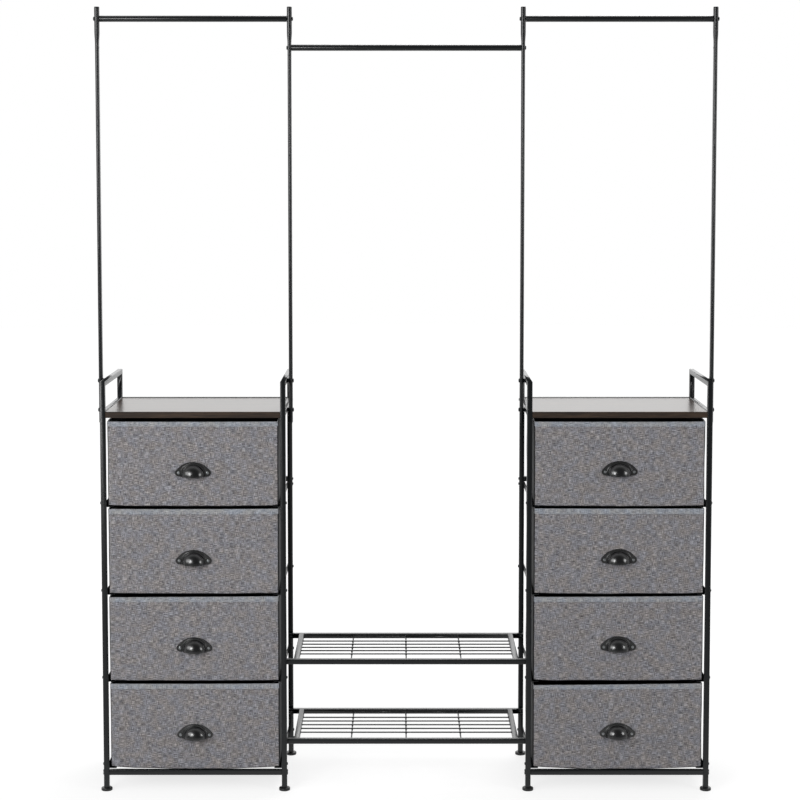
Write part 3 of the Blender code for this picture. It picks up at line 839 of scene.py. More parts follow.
@dataclass
class SteelWork:
    """The square-tube pieces of the frame, whose shapes come from the frame itself.

    Each is a merged copy, so that its rounded tube corners and round parts shade smoothly.

    Attributes:
        tube: the square tube's width.
        dresser_width: a dresser's width over its side frames.
        front_bar_z: height of the front crossbar.
        front_screw_rise: how far its screws sit below and above its middle.
        runner_screw_z: heights of the screws that hold the drawer runners.
        rear_bar_z: heights of the rear crossbars, the uppermost at board level.
        board_screw_y: place, front to back, of the screw that holds a board's rear.
    """

    tube: float = 0.0127
    dresser_width: float = 0.445
    front_bar_z: float = 0.0445
    front_screw_rise: float = 0.0033
    runner_screw_z: tuple[float, ...] = (0.0651, 0.2786, 0.4921, 0.7056)
    rear_bar_z: tuple[float, ...] = (0.0445, 0.71865, 0.92215)
    board_screw_y: float = 0.0953

    def copy_of(self, node: str) -> None:
        """Dresses one of the frame's nodes with a merged copy of it.

        Args:
            node: the node, which the copy replaces.
        """
        bm = bmesh.new()
        bm.from_mesh(frame["nodes"][node].data)
        bmesh.ops.remove_doubles(bm, verts=bm.verts[:], dist=2 * SAME_POINT)
        shade_evenly(add_piece(f"{node}_tube", bm, FRAME_BODY, [STEEL], [node], degrees=50.0))

    def posts(self, dresser: Dresser, side: Side) -> tuple[Vector, Vector]:
        """Finds the outer faces of a side frame's two posts.

        Args:
            dresser: the side frame's dresser.
            side: its side of the dresser.

        Returns:
            The middles of the front post's and the rear post's outer face, at floor level.
        """
        low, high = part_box(f"side_frame_{place_name(dresser, side)}")
        bar_low, bar_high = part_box(f"front_crossbar_{dresser.name.lower()}")
        outward = dresser.value * side.value
        centre = (bar_low.x + bar_high.x) / 2 + outward * (self.dresser_width - self.tube) / 2
        face = centre + outward * self.tube / 2
        front = Vector((face, low.y + self.tube / 2, 0))
        rear = Vector((face, high.y - self.tube / 2, 0))
        return front, rear

    def screws(self, dresser: Dresser, side: Side, head: bpy.types.Mesh) -> None:
        """Adds the screw heads on the outer faces of a side frame's posts.

        Args:
            dresser: the side frame's dresser.
            side: its side of the dresser.
            head: a screw head's mesh.
        """
        front, rear = self.posts(dresser, side)
        away = X_AXIS * dresser.value * side.value
        bar_screw_z = [self.front_bar_z + end * self.front_screw_rise for end in (-1, 1)]
        spots = [front + Z_AXIS * z for z in (*bar_screw_z, *self.runner_screw_z)]
        spots += [rear + Z_AXIS * z for z in (*self.rear_bar_z, *self.runner_screw_z)]
        spots.append(Vector((front.x, self.board_screw_y, self.rear_bar_z[-1])))
        bm = bmesh.new()
        for spot in spots:
            stamp(bm, head, facing(spot, away))
        add_piece(f"screw_heads_{place_name(dresser, side)}", bm, FRAME_BODY, [SCREWS])

    def build(self) -> None:
        """Dresses all the tube work and adds its screw heads."""
        head = CrossHead().mesh()
        for dresser in Dresser:
            for side in Side:
                self.copy_of(f"side_frame_{place_name(dresser, side)}")
                self.screws(dresser, side, head)
            self.copy_of(f"front_crossbar_{dresser.name.lower()}")
            for level in ("bottom", "middle", "top"):
                self.copy_of(f"rear_crossbar_{dresser.name.lower()}_{level}")


@dataclass
class WireShelf:
    """A welded shelf: its bars and wires come from the frame, and the weld spots are added.

    Attributes:
        level: lower or upper.
        tube: width of its square bars.
        bar_inset: how far the front and rear bar's middles are inside the shelf's box.
        side_inset: the same for its side bars.
        wire_radius: radius of a wire.
        long_wires: the number of long wires.
        long_pitch: spacing of the long wires.
        cross_pitch: spacing of the cross wires.
        spot_radius: radius of a weld spot, a little proud of the wires.
        end_rise: how far the spots at the cross wires' ends sit above the bars' middle.
    """

    level: str
    tube: float = 0.0127
    bar_inset: float = 0.0131
    side_inset: float = 0.0343
    wire_radius: float = 0.0018
    long_wires: int = 5
    long_pitch: float = 0.032
    cross_pitch: float = 0.134
    spot_radius: float = 0.0026
    end_rise: float = 0.0006

    def spots(self) -> list[Vector]:
        """Returns the places where wires are welded to each other and to the bars."""
        low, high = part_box(f"wire_shelf_{self.level}")
        middle = (low + high) / 2
        near = self.tube / 2
        half_count = (self.long_wires - 1) / 2
        rows = [middle.y + (i - half_count) * self.long_pitch for i in range(self.long_wires)]
        columns = [i * self.cross_pitch for i in (-1, 0, 1)]
        ends = (low.y + self.bar_inset + near, high.y - self.bar_inset - near)
        reach = high.x - self.side_inset - near
        found = [Vector((x, y, middle.z)) for x in columns for y in rows]
        found += [Vector((x, y, middle.z + self.end_rise)) for x in columns for y in ends]
        found += [Vector((x, y, middle.z + self.wire_radius)) for x in (-reach, reach) for y in rows]
        return found

    def build(self, work: SteelWork) -> None:
        """Dresses the shelf and adds its weld spots.

        Args:
            work: the tube work, which copies the shelf's own node.
        """
        work.copy_of(f"wire_shelf_{self.level}")
        bm = bmesh.new()
        for spot in self.spots():
            place = Matrix.Translation(spot)
            bmesh.ops.create_icosphere(bm, subdivisions=2, radius=self.spot_radius, matrix=place)
        add_piece(f"shelf_welds_{self.level}", bm, FRAME_BODY, [STEEL], degrees=80.0)


@dataclass
class HangingPost:
    """A flattened tube, rounder at its top, with holes for two bolts and two rods.

    Attributes:
        name: dresser and side, as in the frame's node names.
        flat: thickness and depth of the flattened part.
        round_top: thickness and depth of the top.
        taper: heights where it starts and ends to change.
        taper_steps: the number of steps of that change.
        wall: the tube's wall.
        hole_radius: radius of its holes.
        holes_z: heights of its four holes.
        drill_length: length of the tool that cuts a hole.
        past: how far the tools for bore and holes start outside the post.
        cap_gap: room between the wall and the cap's plug.
        cap_plate: thickness of the cap's plate.
        cap_edge: how far the plate's rim is rounded.
        sides: the number of flats round the post.
    """

    name: str
    flat: tuple[float, float] = (0.0094, 0.0170)
    round_top: tuple[float, float] = (0.0124, 0.0158)
    taper: tuple[float, float] = (1.807, 1.835)
    taper_steps: int = 6
    wall: float = 0.0010
    hole_radius: float = 0.0028
    holes_z: tuple[float, ...] = (0.92215, 0.99365, 1.798, 1.867)
    drill_length: float = 0.04
    past: float = 0.01
    cap_gap: float = 0.0003
    cap_plate: float = 0.002
    cap_edge: float = 0.0006
    sides: int = 32

    def ring(self, bm: bmesh.types.BMesh, centre: Vector, size: tuple[float, float]) -> None:
        """Adds a closed ring of edges in the post's section, two half circles and two flats.

        Args:
            bm: the bmesh that takes the ring.
            centre: its middle.
            size: its thickness and depth.
        """
        thickness, depth = size
        made = bmesh.ops.create_circle(bm, segments=self.sides, radius=thickness / 2)["verts"]
        straight = (depth - thickness) / 2
        for vert in made:
            vert.co.y += math.copysign(straight, vert.co.y) if abs(vert.co.y) > SAME_POINT else 0.0
        bmesh.ops.translate(bm, vec=centre, verts=made)

    def tube(self, bm: bmesh.types.BMesh, centre: Vector, low: float, high: float, inset: float) -> None:
        """Fills a bmesh with the post's solid form, or with that of its bore.

        Args:
            bm: the bmesh that takes the form.
            centre: the post's middle.
            low: height of the form's lower end.
            high: height of its upper end.
            inset: how far it lies inside the post's outer skin.
        """
        narrow = tuple(size - 2 * inset for size in self.flat)
        wide = tuple(size - 2 * inset for size in self.round_top)
        stations = [(low, 0.0)]
        for i in range(self.taper_steps + 1):
            share = i / self.taper_steps
            height = self.taper[0] + share * (self.taper[1] - self.taper[0])
            stations.append((height, share * share * (3 - 2 * share)))
        stations.append((high, 1.0))
        for height, share in stations:
            size = tuple(a + share * (b - a) for a, b in zip(narrow, wide))
            self.ring(bm, Vector((centre.x, centre.y, height)), size)
        close_rings(bm)

    def build(self) -> None:
        """Builds the post and its cap."""
        node = f"hanging_post_{self.name}"
        low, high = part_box(node)
        centre = (low + high) / 2
        bm = bmesh.new()
        self.tube(bm, centre, low.z, high.z, 0.0)
        item = new_object("post", bm)
        bore = bmesh.new()
        self.tube(bore, centre, low.z - self.past, high.z + self.past, self.wall)
        carve(item, bore, Action.CUT)
        for z in self.holes_z:
            hole = bmesh.new()
            start = Vector((low.x - self.past, centre.y, z))
            end = start + X_AXIS * self.drill_length
            bar(hole, start, end, self.hole_radius, sides=20, edge=0.0001)
            carve(item, hole, Action.CUT)
        add_piece(f"{node}_tube", take(item), FRAME_BODY, [STEEL], [node])
        self.cap()

    def cap(self) -> None:
        """Builds the plug in the post's top, its rim rounded."""
        node = f"post_cap_{self.name}"
        low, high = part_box(node)
        centre = (low + high) / 2
        plug = tuple(size - 2 * (self.wall + self.cap_gap) for size in self.round_top)
        crown = tuple(size - 2 * self.cap_edge for size in self.round_top)
        seat = high.z - self.cap_plate
        stations = (
            (low.z, plug),
            (seat, plug),
            (seat, self.round_top),
            (high.z - self.cap_edge, self.round_top),
            (high.z, crown),
        )
        bm = bmesh.new()
        for height, size in stations:
            self.ring(bm, Vector((centre.x, centre.y, height)), size)
        close_rings(bm)
        add_piece(f"{node}_plug", bm, FRAME_BODY, [PLASTIC], [node])


@dataclass
class HangingRail:
    """The posts, their bolts and the three rods between them.

    Attributes:
        rod_radius: radius of a rod.
        thickness: each rod's name, and how thick the posts are at its height.
        head_reach: how far a bolt's head stands out from its post.
        gap: room between a rod's end and its post.
        bite: how far a rod's bolt reaches past its post's thickness.
    """

    rod_radius: float = 0.0075
    thickness: tuple[tuple[str, float], ...] = (("left", 0.0124), ("centre", 0.0094), ("right", 0.0124))
    head_reach: float = 0.0027
    gap: float = 0.0003
    bite: float = 0.002

    def rod(self, name: str, thickness: float) -> None:
        """Builds a rod with the bolts in its ends.

        Args:
            name: left, centre or right.
            thickness: thickness of the posts at its height.
        """
        node = f"hanging_rod_{name}"
        low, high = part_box(node)
        y, z = (low.y + high.y) / 2, (low.z + high.z) / 2
        outside = (low.x + self.head_reach, high.x - self.head_reach)
        bm = bmesh.new()
        start = Vector((outside[0] + thickness + self.gap, y, z))
        end = Vector((outside[1] - thickness - self.gap, y, z))
        bar(bm, start, end, self.rod_radius, sides=36, edge=0.0005)
        tidy(bm)
        bolt = ButtonBolt().mesh(thickness + self.bite)
        stamp(bm, bolt, facing(Vector((outside[0], y, z)), -X_AXIS))
        stamp(bm, bolt, facing(Vector((outside[1], y, z)), X_AXIS))
        add_piece(f"{node}_round", bm, FRAME_BODY, [STEEL], [node])

    def bolts(self, dresser: Dresser, side: Side) -> None:
        """Builds the two bolts that hold a hanging post to its side frame.

        Args:
            dresser: the side frame's dresser.
            side: its side of the dresser.
        """
        outward = dresser.value * side.value
        for level in ("upper", "lower"):
            node = f"post_bolt_{place_name(dresser, side)}_{level}"
            low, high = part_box(node)
            y, z = (low.y + high.y) / 2, (low.z + high.z) / 2
            tip, far = (low.x, high.x) if outward > 0 else (high.x, low.x)
            seat = far - outward * self.head_reach
            bm = bmesh.new()
            bolt = ButtonBolt().mesh(abs(seat - tip))
            stamp(bm, bolt, facing(Vector((seat, y, z)), X_AXIS * outward))
            add_piece(f"{node}_button", bm, FRAME_BODY, [SCREWS], [node])

    def build(self) -> None:
        """Builds posts, bolts and rods."""
        for dresser in Dresser:
            for side in Side:
                HangingPost(place_name(dresser, side)).build()
                self.bolts(dresser, side)
        for name, thickness in self.thickness:
            self.rod(name, thickness)


@dataclass
class LevellingFoot:
    """A round plastic foot on a threaded stem, with a soft rim where it meets the floor.

    Attributes:
        node: the frame's node and body.
        radius: radius of the pad.
        collar: radius of the collar on the pad.
        top: height of the collar's top.
        stem: radius of the stem.
        stem_length: its length above the collar.
        stem_edge: how far its tip is chamfered.
        sides: the number of flats round the foot.
    """

    node: str
    radius: float = 0.0135
    collar: float = 0.0062
    top: float = 0.0077
    stem: float = 0.004
    stem_length: float = 0.026
    stem_edge: float = 0.0006
    sides: int = 40

    def build(self) -> None:
        """Builds the foot."""
        low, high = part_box(self.node)
        r, c, top = self.radius, self.collar, self.top
        tip = top + self.stem_length
        # From the middle of the sole: rounded lower edge, straight rim, sloping crown, collar, stem.
        profile = [
            (0, 0),
            (r - 0.0012, 0),
            (r - 0.0003, 0.0004),
            (r, 0.0012),
            (r, 0.0052),
            (r - 0.0004, 0.0062),
            (r - 0.0013, 0.0068),
            (c + 0.0012, 0.0070),
            (c, 0.0072),
            (c, top),
            (self.stem, top),
            (self.stem, tip - self.stem_edge),
            (self.stem - self.stem_edge, tip),
            (0, tip),
        ]
        bm = bmesh.new()
        turned(bm, profile, self.sides)
        place = Vector(((low.x + high.x) / 2, (low.y + high.y) / 2, 0))
        bmesh.ops.translate(bm, vec=place, verts=bm.verts[:])
        add_piece(f"{self.node}_pad", bm, self.node, [PLASTIC], [self.node])


# How far each dresser's pulls sit above the frame's own, read from the photograph.
PULL_LIFTS = {"left": 0.0018, "right": 0.0044}


@dataclass
class CupPull:
    """A pressed steel cup pull: a half dome on a half-oval plate, with a screw in each ear.

    Attributes:
        drawer: the body that it is on.
        lift: how far it sits above the lowest point of the frame's own pull.
        width: width of the dome.
        projection: how far the dome stands out.
        rise: height of the dome.
        shell: thickness of the dome's sheet.
        plate: thickness of the plate.
        plate_rise: height of the plate.
        bead: radius of the bead between dome and plate.
        bead_gap: how far outside the dome the bead runs.
        corner: half the width of the plate's straight bottom.
        ear_span: width of the plate over its ears.
        ear_radius: radius of an ear, round its screw.
        ear_rise: height of the screws.
        steps: the number of steps round half the dome's mouth.
        edge: how far the sheet's edges are rounded.
        nut_y: where the nuts start, behind the plate's back.
        nut_height: their thickness.
        nut_radius: their radius over the corners.
        shank_radius: radius of the screws.
    """

    drawer: str
    lift: float
    width: float = 0.0570
    projection: float = 0.0215
    rise: float = 0.0295
    shell: float = 0.0016
    plate: float = 0.0020
    plate_rise: float = 0.0352
    bead: float = 0.0014
    bead_gap: float = 0.0032
    corner: float = 0.0330
    ear_span: float = 0.0866
    ear_radius: float = 0.0086
    ear_rise: float = 0.0090
    steps: int = 28
    edge: float = 0.0003
    nut_y: float = 0.0066
    nut_height: float = 0.0030
    nut_radius: float = 0.0036
    shank_radius: float = 0.0018

    def dome(self, width: float, rise: float, projection: float, extra: float) -> bmesh.types.BMesh:
        """A closed quarter of an ellipsoid.

        Args:
            width: its width.
            rise: its height.
            projection: how far it stands out.
            extra: how far its flat back and bottom are moved further out.

        Returns:
            The shape, its mouth down and its back at the origin's plane.
        """
        bm = bmesh.new()
        bmesh.ops.create_uvsphere(bm, u_segments=2 * self.steps, v_segments=self.steps, radius=1.0)
        bmesh.ops.rotate(bm, matrix=Matrix.Rotation(math.pi / 2, 3, "Y"), verts=bm.verts[:])
        for normal in (Y_AXIS, -Z_AXIS):
            everything = bm.verts[:] + bm.edges[:] + bm.faces[:]
            cut = bmesh.ops.bisect_plane(
                bm,
                geom=everything,
                dist=SAME_POINT,
                plane_co=(0, 0, 0),
                plane_no=normal,
                clear_outer=True,
            )
            edges = [e for e in cut["geom_cut"] if isinstance(e, bmesh.types.BMEdge)]
            bmesh.ops.contextual_create(bm, geom=edges)
        bmesh.ops.scale(bm, vec=(width / 2, projection, rise), verts=bm.verts[:])
        back = [v for v in bm.verts if v.co.y > -SAME_POINT]
        bottom = [v for v in bm.verts if v.co.z < SAME_POINT]
        bmesh.ops.translate(bm, vec=Y_AXIS * extra, verts=back)
        bmesh.ops.translate(bm, vec=-Z_AXIS * extra, verts=bottom)
        return tidy(bm)

    def plate_shape(self) -> bmesh.types.BMesh:
        """The back plate: a half oval behind the dome, with a rounded ear at each lower end.

        Its outline's points are laid out first, and a hull over two copies of them makes the plate.

        Returns:
            The shape, its back at the origin's plane and its bottom at the origin's height.
        """
        bm = bmesh.new()
        rim = bmesh.ops.create_circle(bm, segments=4 * self.steps, radius=1.0)["verts"]
        bmesh.ops.scale(bm, vec=(self.ear_span / 2, self.plate_rise, 1), verts=rim)
        bmesh.ops.delete(bm, geom=[v for v in rim if v.co.y < self.ear_rise], context="VERTS")
        for end in (-1, 1):
            place = Matrix.Translation((end * (self.ear_span / 2 - self.ear_radius), self.ear_rise, 0))
            bmesh.ops.create_circle(bm, segments=32, radius=self.ear_radius, matrix=place)
            bm.verts.new((end * self.corner, 0, 0))
        bmesh.ops.delete(bm, geom=bm.edges[:], context="EDGES_FACES")
        bmesh.ops.rotate(bm, matrix=Matrix.Rotation(math.pi / 2, 3, "X"), verts=bm.verts[:])
        back = bmesh.ops.duplicate(bm, geom=bm.verts[:])["geom"]
        bmesh.ops.translate(bm, vec=-Y_AXIS * self.plate, verts=back)
        bmesh.ops.convex_hull(bm, input=bm.verts[:])
        bmesh.ops.delete(bm, geom=[v for v in bm.verts if not v.link_faces], context="VERTS")
        bmesh.ops.dissolve_limit(bm, angle_limit=0.001, verts=bm.verts[:], edges=bm.edges[:])
        return tidy(bm)

    def beading(self) -> bmesh.types.BMesh:
        """The raised bead over the dome, where the sheet is pressed out of the plate.

        Returns:
            The shape, a half ring that stands on the plate.
        """
        bm = bmesh.new()
        half = self.width / 2 + self.bead_gap
        place = Matrix.Translation((half, -self.plate, 0))
        bmesh.ops.create_circle(bm, segments=12, radius=self.bead, matrix=place)
        bmesh.ops.spin(
            bm, geom=bm.verts[:] + bm.edges[:], axis=Y_AXIS, angle=-math.pi, steps=2 * self.steps
        )
        bmesh.ops.holes_fill(bm, edges=[e for e in bm.edges if e.is_boundary], sides=0)
        bmesh.ops.scale(bm, vec=(1, 1, (self.rise + self.bead_gap) / half), verts=bm.verts[:])
        return tidy(bm)

    def build(self) -> None:
        """Builds the pull with its screws and nuts."""
        node = f"{self.drawer}_pull"
        low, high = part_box(node)
        back = low.y + self.projection
        mouth = low.z + self.lift
        item = new_object("pull", self.plate_shape())
        carve(item, self.beading(), Action.JOIN)
        carve(item, self.dome(self.width, self.rise, self.projection, 0.0), Action.JOIN)
        inner = self.dome(
            self.width - 2 * self.shell, self.rise - self.shell, self.projection - self.shell, self.shell
        )
        carve(item, inner, Action.CUT)
        bm = tidy(take(item))
        crisp = [e for e in bm.edges if e.is_manifold and e.calc_face_angle(0) > math.radians(50)]
        bmesh.ops.bevel(
            bm,
            geom=crisp,
            offset=self.edge,
            segments=2,
            affect="EDGES",
            profile=0.5,
            material=-1,
            clamp_overlap=True,
        )
        head = CrossHead(radius=0.0033, height=0.0016).mesh()
        cup = set(bm.faces)
        for end in (-1, 1):
            spot = Vector((end * (self.ear_span / 2 - self.ear_radius), -self.plate, self.ear_rise))
            stamp(bm, head, facing(spot, -Y_AXIS))
            shank = Vector((spot.x, -self.plate / 2, self.ear_rise))
            nut = Vector((spot.x, self.nut_y, self.ear_rise))
            tip = nut + Y_AXIS * self.nut_height
            bar(bm, shank, tip, self.shank_radius, sides=16, edge=0.0002)
            bar(bm, nut, tip, self.nut_radius, sides=6, edge=0.0003)
        for face in set(bm.faces) - cup:
            face.material_index = 1
        place = Vector(((low.x + high.x) / 2, back, mouth))
        bmesh.ops.translate(bm, vec=place, verts=bm.verts[:])
        # The screws and nuts take the screw metal whose bright colour is a painted highlight.
        finishes = [LACQUER, PULL_SCREWS_PAINTED_BRIGHT]
        shade_evenly(add_piece(f"{node}_cup", bm, self.drawer, finishes, [node], degrees=35.0))


@dataclass(frozen=True)
class Hang:
    """How a drawer's front hangs, read from the gaps between the drawers in the photograph.

    Attributes:
        top_drop: how far its top edge sits below the sides'.
        top_tilt: how much lower its left end is, and how much higher its right end.
        bottom_lift: how far its bottom edge is drawn up.
        belly: how far its bottom hangs in the middle.
    """

    top_drop: float
    top_tilt: float
    bottom_lift: float
    belly: float = 0.0010


HANGS = {
    "drawer_left_1": Hang(0.0022, 0.0, 0.0002),
    "drawer_left_2": Hang(0.0002, 0.0003, 0.0002),
    "drawer_left_3": Hang(0.0014, 0.0012, 0.0002),
    "drawer_left_4": Hang(0.0012, 0.0004, 0.0004, 0.0050),
    "drawer_right_1": Hang(0.0022, 0.0, 0.0),
    "drawer_right_2": Hang(-0.0006, 0.0, 0.0),
    "drawer_right_3": Hang(0.0004, 0.0012, 0.0006),
    "drawer_right_4": Hang(0.0030, 0.0022, 0.0004, 0.0050),
}


@dataclass
class Drawer:
    """A sewn cloth drawer over thin boards: soft edges, a folded hem and a dark lining.

    Attributes:
        name: the body's name.
        number: sets how its cloth lies and where its pattern starts.
        hang: how its front hangs.
        wall: thickness of the sides and back.
        front: thickness of the front.
        floor: thickness of the bottom.
        corner: how far the cloth rounds an edge.
        hem: width of the folded hem.
        hem_edge: share of the hem over which it rises from the cloth below.
        hem_lift: how far the hem stands off the cloth.
        hem_lean: how far the front's hem leans back at its top.
        hem_margin: how far under its hem line a moved hem's faces may lie.
        slack: how far the cloth lifts off its boards.
        ripple: spacing of its soft waves.
        sag: how far the top edge hangs in the middle.
        front_depth: how far back the front's own drop and lift reach.
        corner_lift: how far the bottom edge is drawn up at the corners.
        base_wave: height and spacing of the waves in the bottom edge.
        roll: height of the rolled top edge.
        lining_levels: the number of steps down the lining.
        step: spacing of the mesh.
        stitch: length and thickness of a stitch.
        stitch_pitch: spacing of the stitches.
        stitch_drop: how far under the hem line they run.
        pull_rise: height of the spot that the pull holds flat.
        pull_reach: how far round that spot the cloth is held.
        cut_shift: how far along the cloth the next drawer is cut.
        side_shift: how far along it the sides are cut.
        base_shift: how far up it the bottom is cut.
    """

    name: str
    number: int
    hang: Hang
    wall: float = 0.0035
    front: float = 0.006
    floor: float = 0.005
    corner: float = 0.0040
    hem_painted_pale: float = 0.0125
    hem_painted_pale_edge: float = 0.12
    hem_painted_pale_lift: float = 0.00042
    hem_painted_pale_lean: float = 0.0022
    hem_painted_pale_margin: float = 0.0044
    slack: float = 0.0009
    ripple: float = 0.075
    sag: float = 0.0006
    front_depth: float = 0.030
    corner_lift: float = 0.0010
    base_wave: tuple[float, float] = (0.0008, 0.06)
    roll: float = 0.0010
    lining_levels: int = 10
    step: float = 0.010
    stitch: tuple[float, float] = (0.0030, 0.0006)
    stitch_pitch: float = 0.0046
    stitch_drop: float = 0.0006
    pull_rise: float = 0.090
    pull_reach: float = 0.050
    cut_shift: float = 1.37
    side_shift: float = 0.6
    base_shift: float = 1.1

    def skin(self, size: Vector) -> bmesh.types.BMesh:
        """The drawer's outside as an open box with rounded edges, cut into a fine grid.

        Args:
            size: the drawer's outside sizes.

        Returns:
            The skin, with the middle of its front's bottom edge at the origin.
        """
        bm = bmesh.new()
        cube = bmesh.ops.create_cube(bm, size=1.0)["verts"]
        bmesh.ops.scale(bm, vec=size, verts=cube)
        bmesh.ops.translate(bm, vec=Vector((0, size.y / 2, size.z / 2)), verts=cube)
        lid = [f for f in bm.faces if f.normal.z > 0.9]
        bmesh.ops.delete(bm, geom=lid, context="FACES_ONLY")
        edges = [e for e in bm.edges if not e.is_boundary]
        bmesh.ops.bevel(
            bm, geom=edges, offset=self.corner, segments=4, affect="EDGES", profile=0.5, material=-1
        )
        spans = (
            (X_AXIS, -size.x / 2 + self.corner, size.x / 2 - self.corner),
            (Y_AXIS, self.corner, size.y - self.corner),
            (Z_AXIS, self.corner, size.z - self.hem_painted_pale),
        )
        for axis, low, high in spans:
            count = round((high - low) / self.step)
            for i in range(1, count + 1):
                self.slice(bm, axis, low + (high - low) * i / count)
        for share in (self.hem_painted_pale_edge, 0.5):
            self.slice(bm, Z_AXIS, size.z - self.hem_painted_pale * (1 - share))
        return bm

    def slice(self, bm: bmesh.types.BMesh, axis: Vector, at: float) -> None:
        """Cuts every face that crosses a plane."""
        everything = bm.verts[:] + bm.edges[:] + bm.faces[:]
        bmesh.ops.bisect_plane(bm, geom=everything, dist=SAME_POINT, plane_co=axis * at, plane_no=axis)

    def lie(self, point: Vector, normal: Vector, size: Vector) -> Vector:
        """Where a point of the skin comes to lie once the cloth is sewn and hung.

        Args:
            point: its place on the flat skin.
            normal: the skin's direction there.
            size: the drawer's outside sizes.

        Returns:
            The point's new place.
        """
        # Soft waves, different on each drawer, that fade out round the pull.
        seed = Vector((self.number * 3.7, self.number * 1.9, 0))
        wave = noise.noise(point / self.ripple + seed)
        near = (Vector((point.x, point.z)) - Vector((0, self.pull_rise))).length
        free = min(1.0, max(0.0, near / self.pull_reach - 0.7))
        facing_front = max(0.0, -normal.y)
        rest = 1 - facing_front * (1 - free)
        out = point + normal * (self.slack * (wave - 0.5) * rest)
        into_hem = (point.z - (size.z - self.hem_painted_pale)) / self.hem_painted_pale
        if into_hem > 0:
            risen = min(1.0, into_hem / self.hem_painted_pale_edge)
            out += Vector((normal.x, normal.y, 0)) * self.hem_painted_pale_lift * risen
            out.y += self.hem_painted_pale_lean * into_hem * facing_front
        # High powers of the height keep each change near the edge that it belongs to.
        up = point.z / size.z
        across = 2 * abs(point.x) / size.x
        in_front = max(0.0, 1 - point.y / self.front_depth)
        droop = 0.9 + 0.5 * math.sin(self.number * 2.3)
        out.z -= self.sag * droop * (1 - across**2) * up**8
        drop = self.hang.top_drop - self.hang.top_tilt * 2 * point.x / size.x
        out.z -= drop * up**12 * in_front
        lift = self.hang.bottom_lift + self.corner_lift * across**8
        out.z += lift * (1 - up) ** 10 * in_front
        out.z -= self.hang.belly * (1 - across**2) * (1 - up) ** 10
        height, spacing = self.base_wave
        out.z += height * noise.noise(Vector((point.x / spacing, self.number, 0))) * (1 - up) ** 8
        return out

    def grow(self, bm: bmesh.types.BMesh, ring: list) -> tuple[list, list]:
        """Extrudes an open ring of edges.

        Args:
            bm: the bmesh that the ring is in.
            ring: its edges.

        Returns:
            The new points and the edges of the new ring.
        """
        grown = bmesh.ops.extrude_edge_only(bm, edges=ring)["geom"]
        verts = [g for g in grown if isinstance(g, bmesh.types.BMVert)]
        edges = [g for g in grown if isinstance(g, bmesh.types.BMEdge) and g.is_boundary]
        return verts, edges

    def shell(self, size: Vector) -> bmesh.types.BMesh:
        """The skin with its cloth lying as sewn, its rolled top edge, and its lined inside.

        Args:
            size: the drawer's outside sizes.

        Returns:
            The closed shape, its faces numbered by cloth.
        """
        bm = self.skin(size)
        bm.normal_update()
        moved = {v: self.lie(v.co.copy(), v.normal.copy(), size) for v in bm.verts}
        for vert, place in moved.items():
            vert.co = place
        ring = [e for e in bm.edges if e.is_boundary]
        width = (size.x / 2 - self.wall) / (size.x / 2)
        depth = (size.y - self.wall - self.front) / size.y
        # The top edge is rolled over in steps: share of the way in, and height there.
        low = self.roll * 0.7
        lips = ((0.12, low), (0.35, self.roll), (0.65, self.roll), (0.88, low), (1.0, 0.0))
        starts = []
        for share, rise in lips:
            verts, ring = self.grow(bm, ring)
            if not starts:
                starts = [v.co.copy() for v in verts]
            for vert, start in zip(verts, starts):
                x = start.x * (1 + (width - 1) * share)
                y = start.y * (1 + (depth - 1) * share) + self.front * share
                vert.co = Vector((x, y, start.z - self.roll + rise))
        lined = set()
        for left in range(self.lining_levels, 0, -1):
            verts, ring = self.grow(bm, ring)
            lined.update(f for v in verts for f in v.link_faces)
            for vert in verts:
                vert.co.z -= (vert.co.z - self.floor) / left
        lined.update(bmesh.ops.contextual_create(bm, geom=ring)["faces"])
        bmesh.ops.recalc_face_normals(bm, faces=bm.faces[:])
        for face in bm.faces:
            if face in lined:
                face.material_index = DrawerCloth.LINING.value
            elif abs(face.normal.x) > 0.5 or face.normal.y > 0.5 or face.normal.z < -0.5:
                face.material_index = DrawerCloth.SIDING.value
            # The hem's faces take the hem cloth, whose paler colour is a painted reflection.
            elif face.calc_center_median().z > size.z - self.hem_painted_pale - self.hem_painted_pale_margin:
                face.material_index = DrawerCloth.HEM_PAINTED_PALE.value
        return bm

    def stitches(self, bm: bmesh.types.BMesh, size: Vector) -> None:
        """Sews a row of stitches under the hem, along the front and both sides.

        Args:
            bm: the drawer's shape, which takes the stitches.
            size: the drawer's outside sizes.
        """
        z = size.z - self.hem_painted_pale - self.stitch_drop
        length, thick = self.stitch
        # Each row stops two corner widths short of the drawer's edges.
        across, along_side = size.x - 4 * self.corner, size.y - 4 * self.corner
        rows = (
            (-Y_AXIS, X_AXIS, across, Vector((0, 0, z))),
            (-X_AXIS, Y_AXIS, along_side, Vector((-size.x / 2, size.y / 2, z))),
            (X_AXIS, Y_AXIS, along_side, Vector((size.x / 2, size.y / 2, z))),
        )
        for normal, along, reach, middle in rows:
            count = int(reach / self.stitch_pitch)
            for i in range(count):
                spot = middle + along * (i - (count - 1) / 2) * self.stitch_pitch
                place = self.lie(spot, normal, size) + normal * thick * 0.2
                made = bmesh.ops.create_cube(bm, size=1.0)["verts"]
                shape = along * (length - thick) + Vector((thick, thick, thick))
                bmesh.ops.scale(bm, vec=shape, verts=made)
                bmesh.ops.translate(bm, vec=place, verts=made)
                for face in {f for v in made for f in v.link_faces}:
                    face.material_index = DrawerCloth.THREAD.value

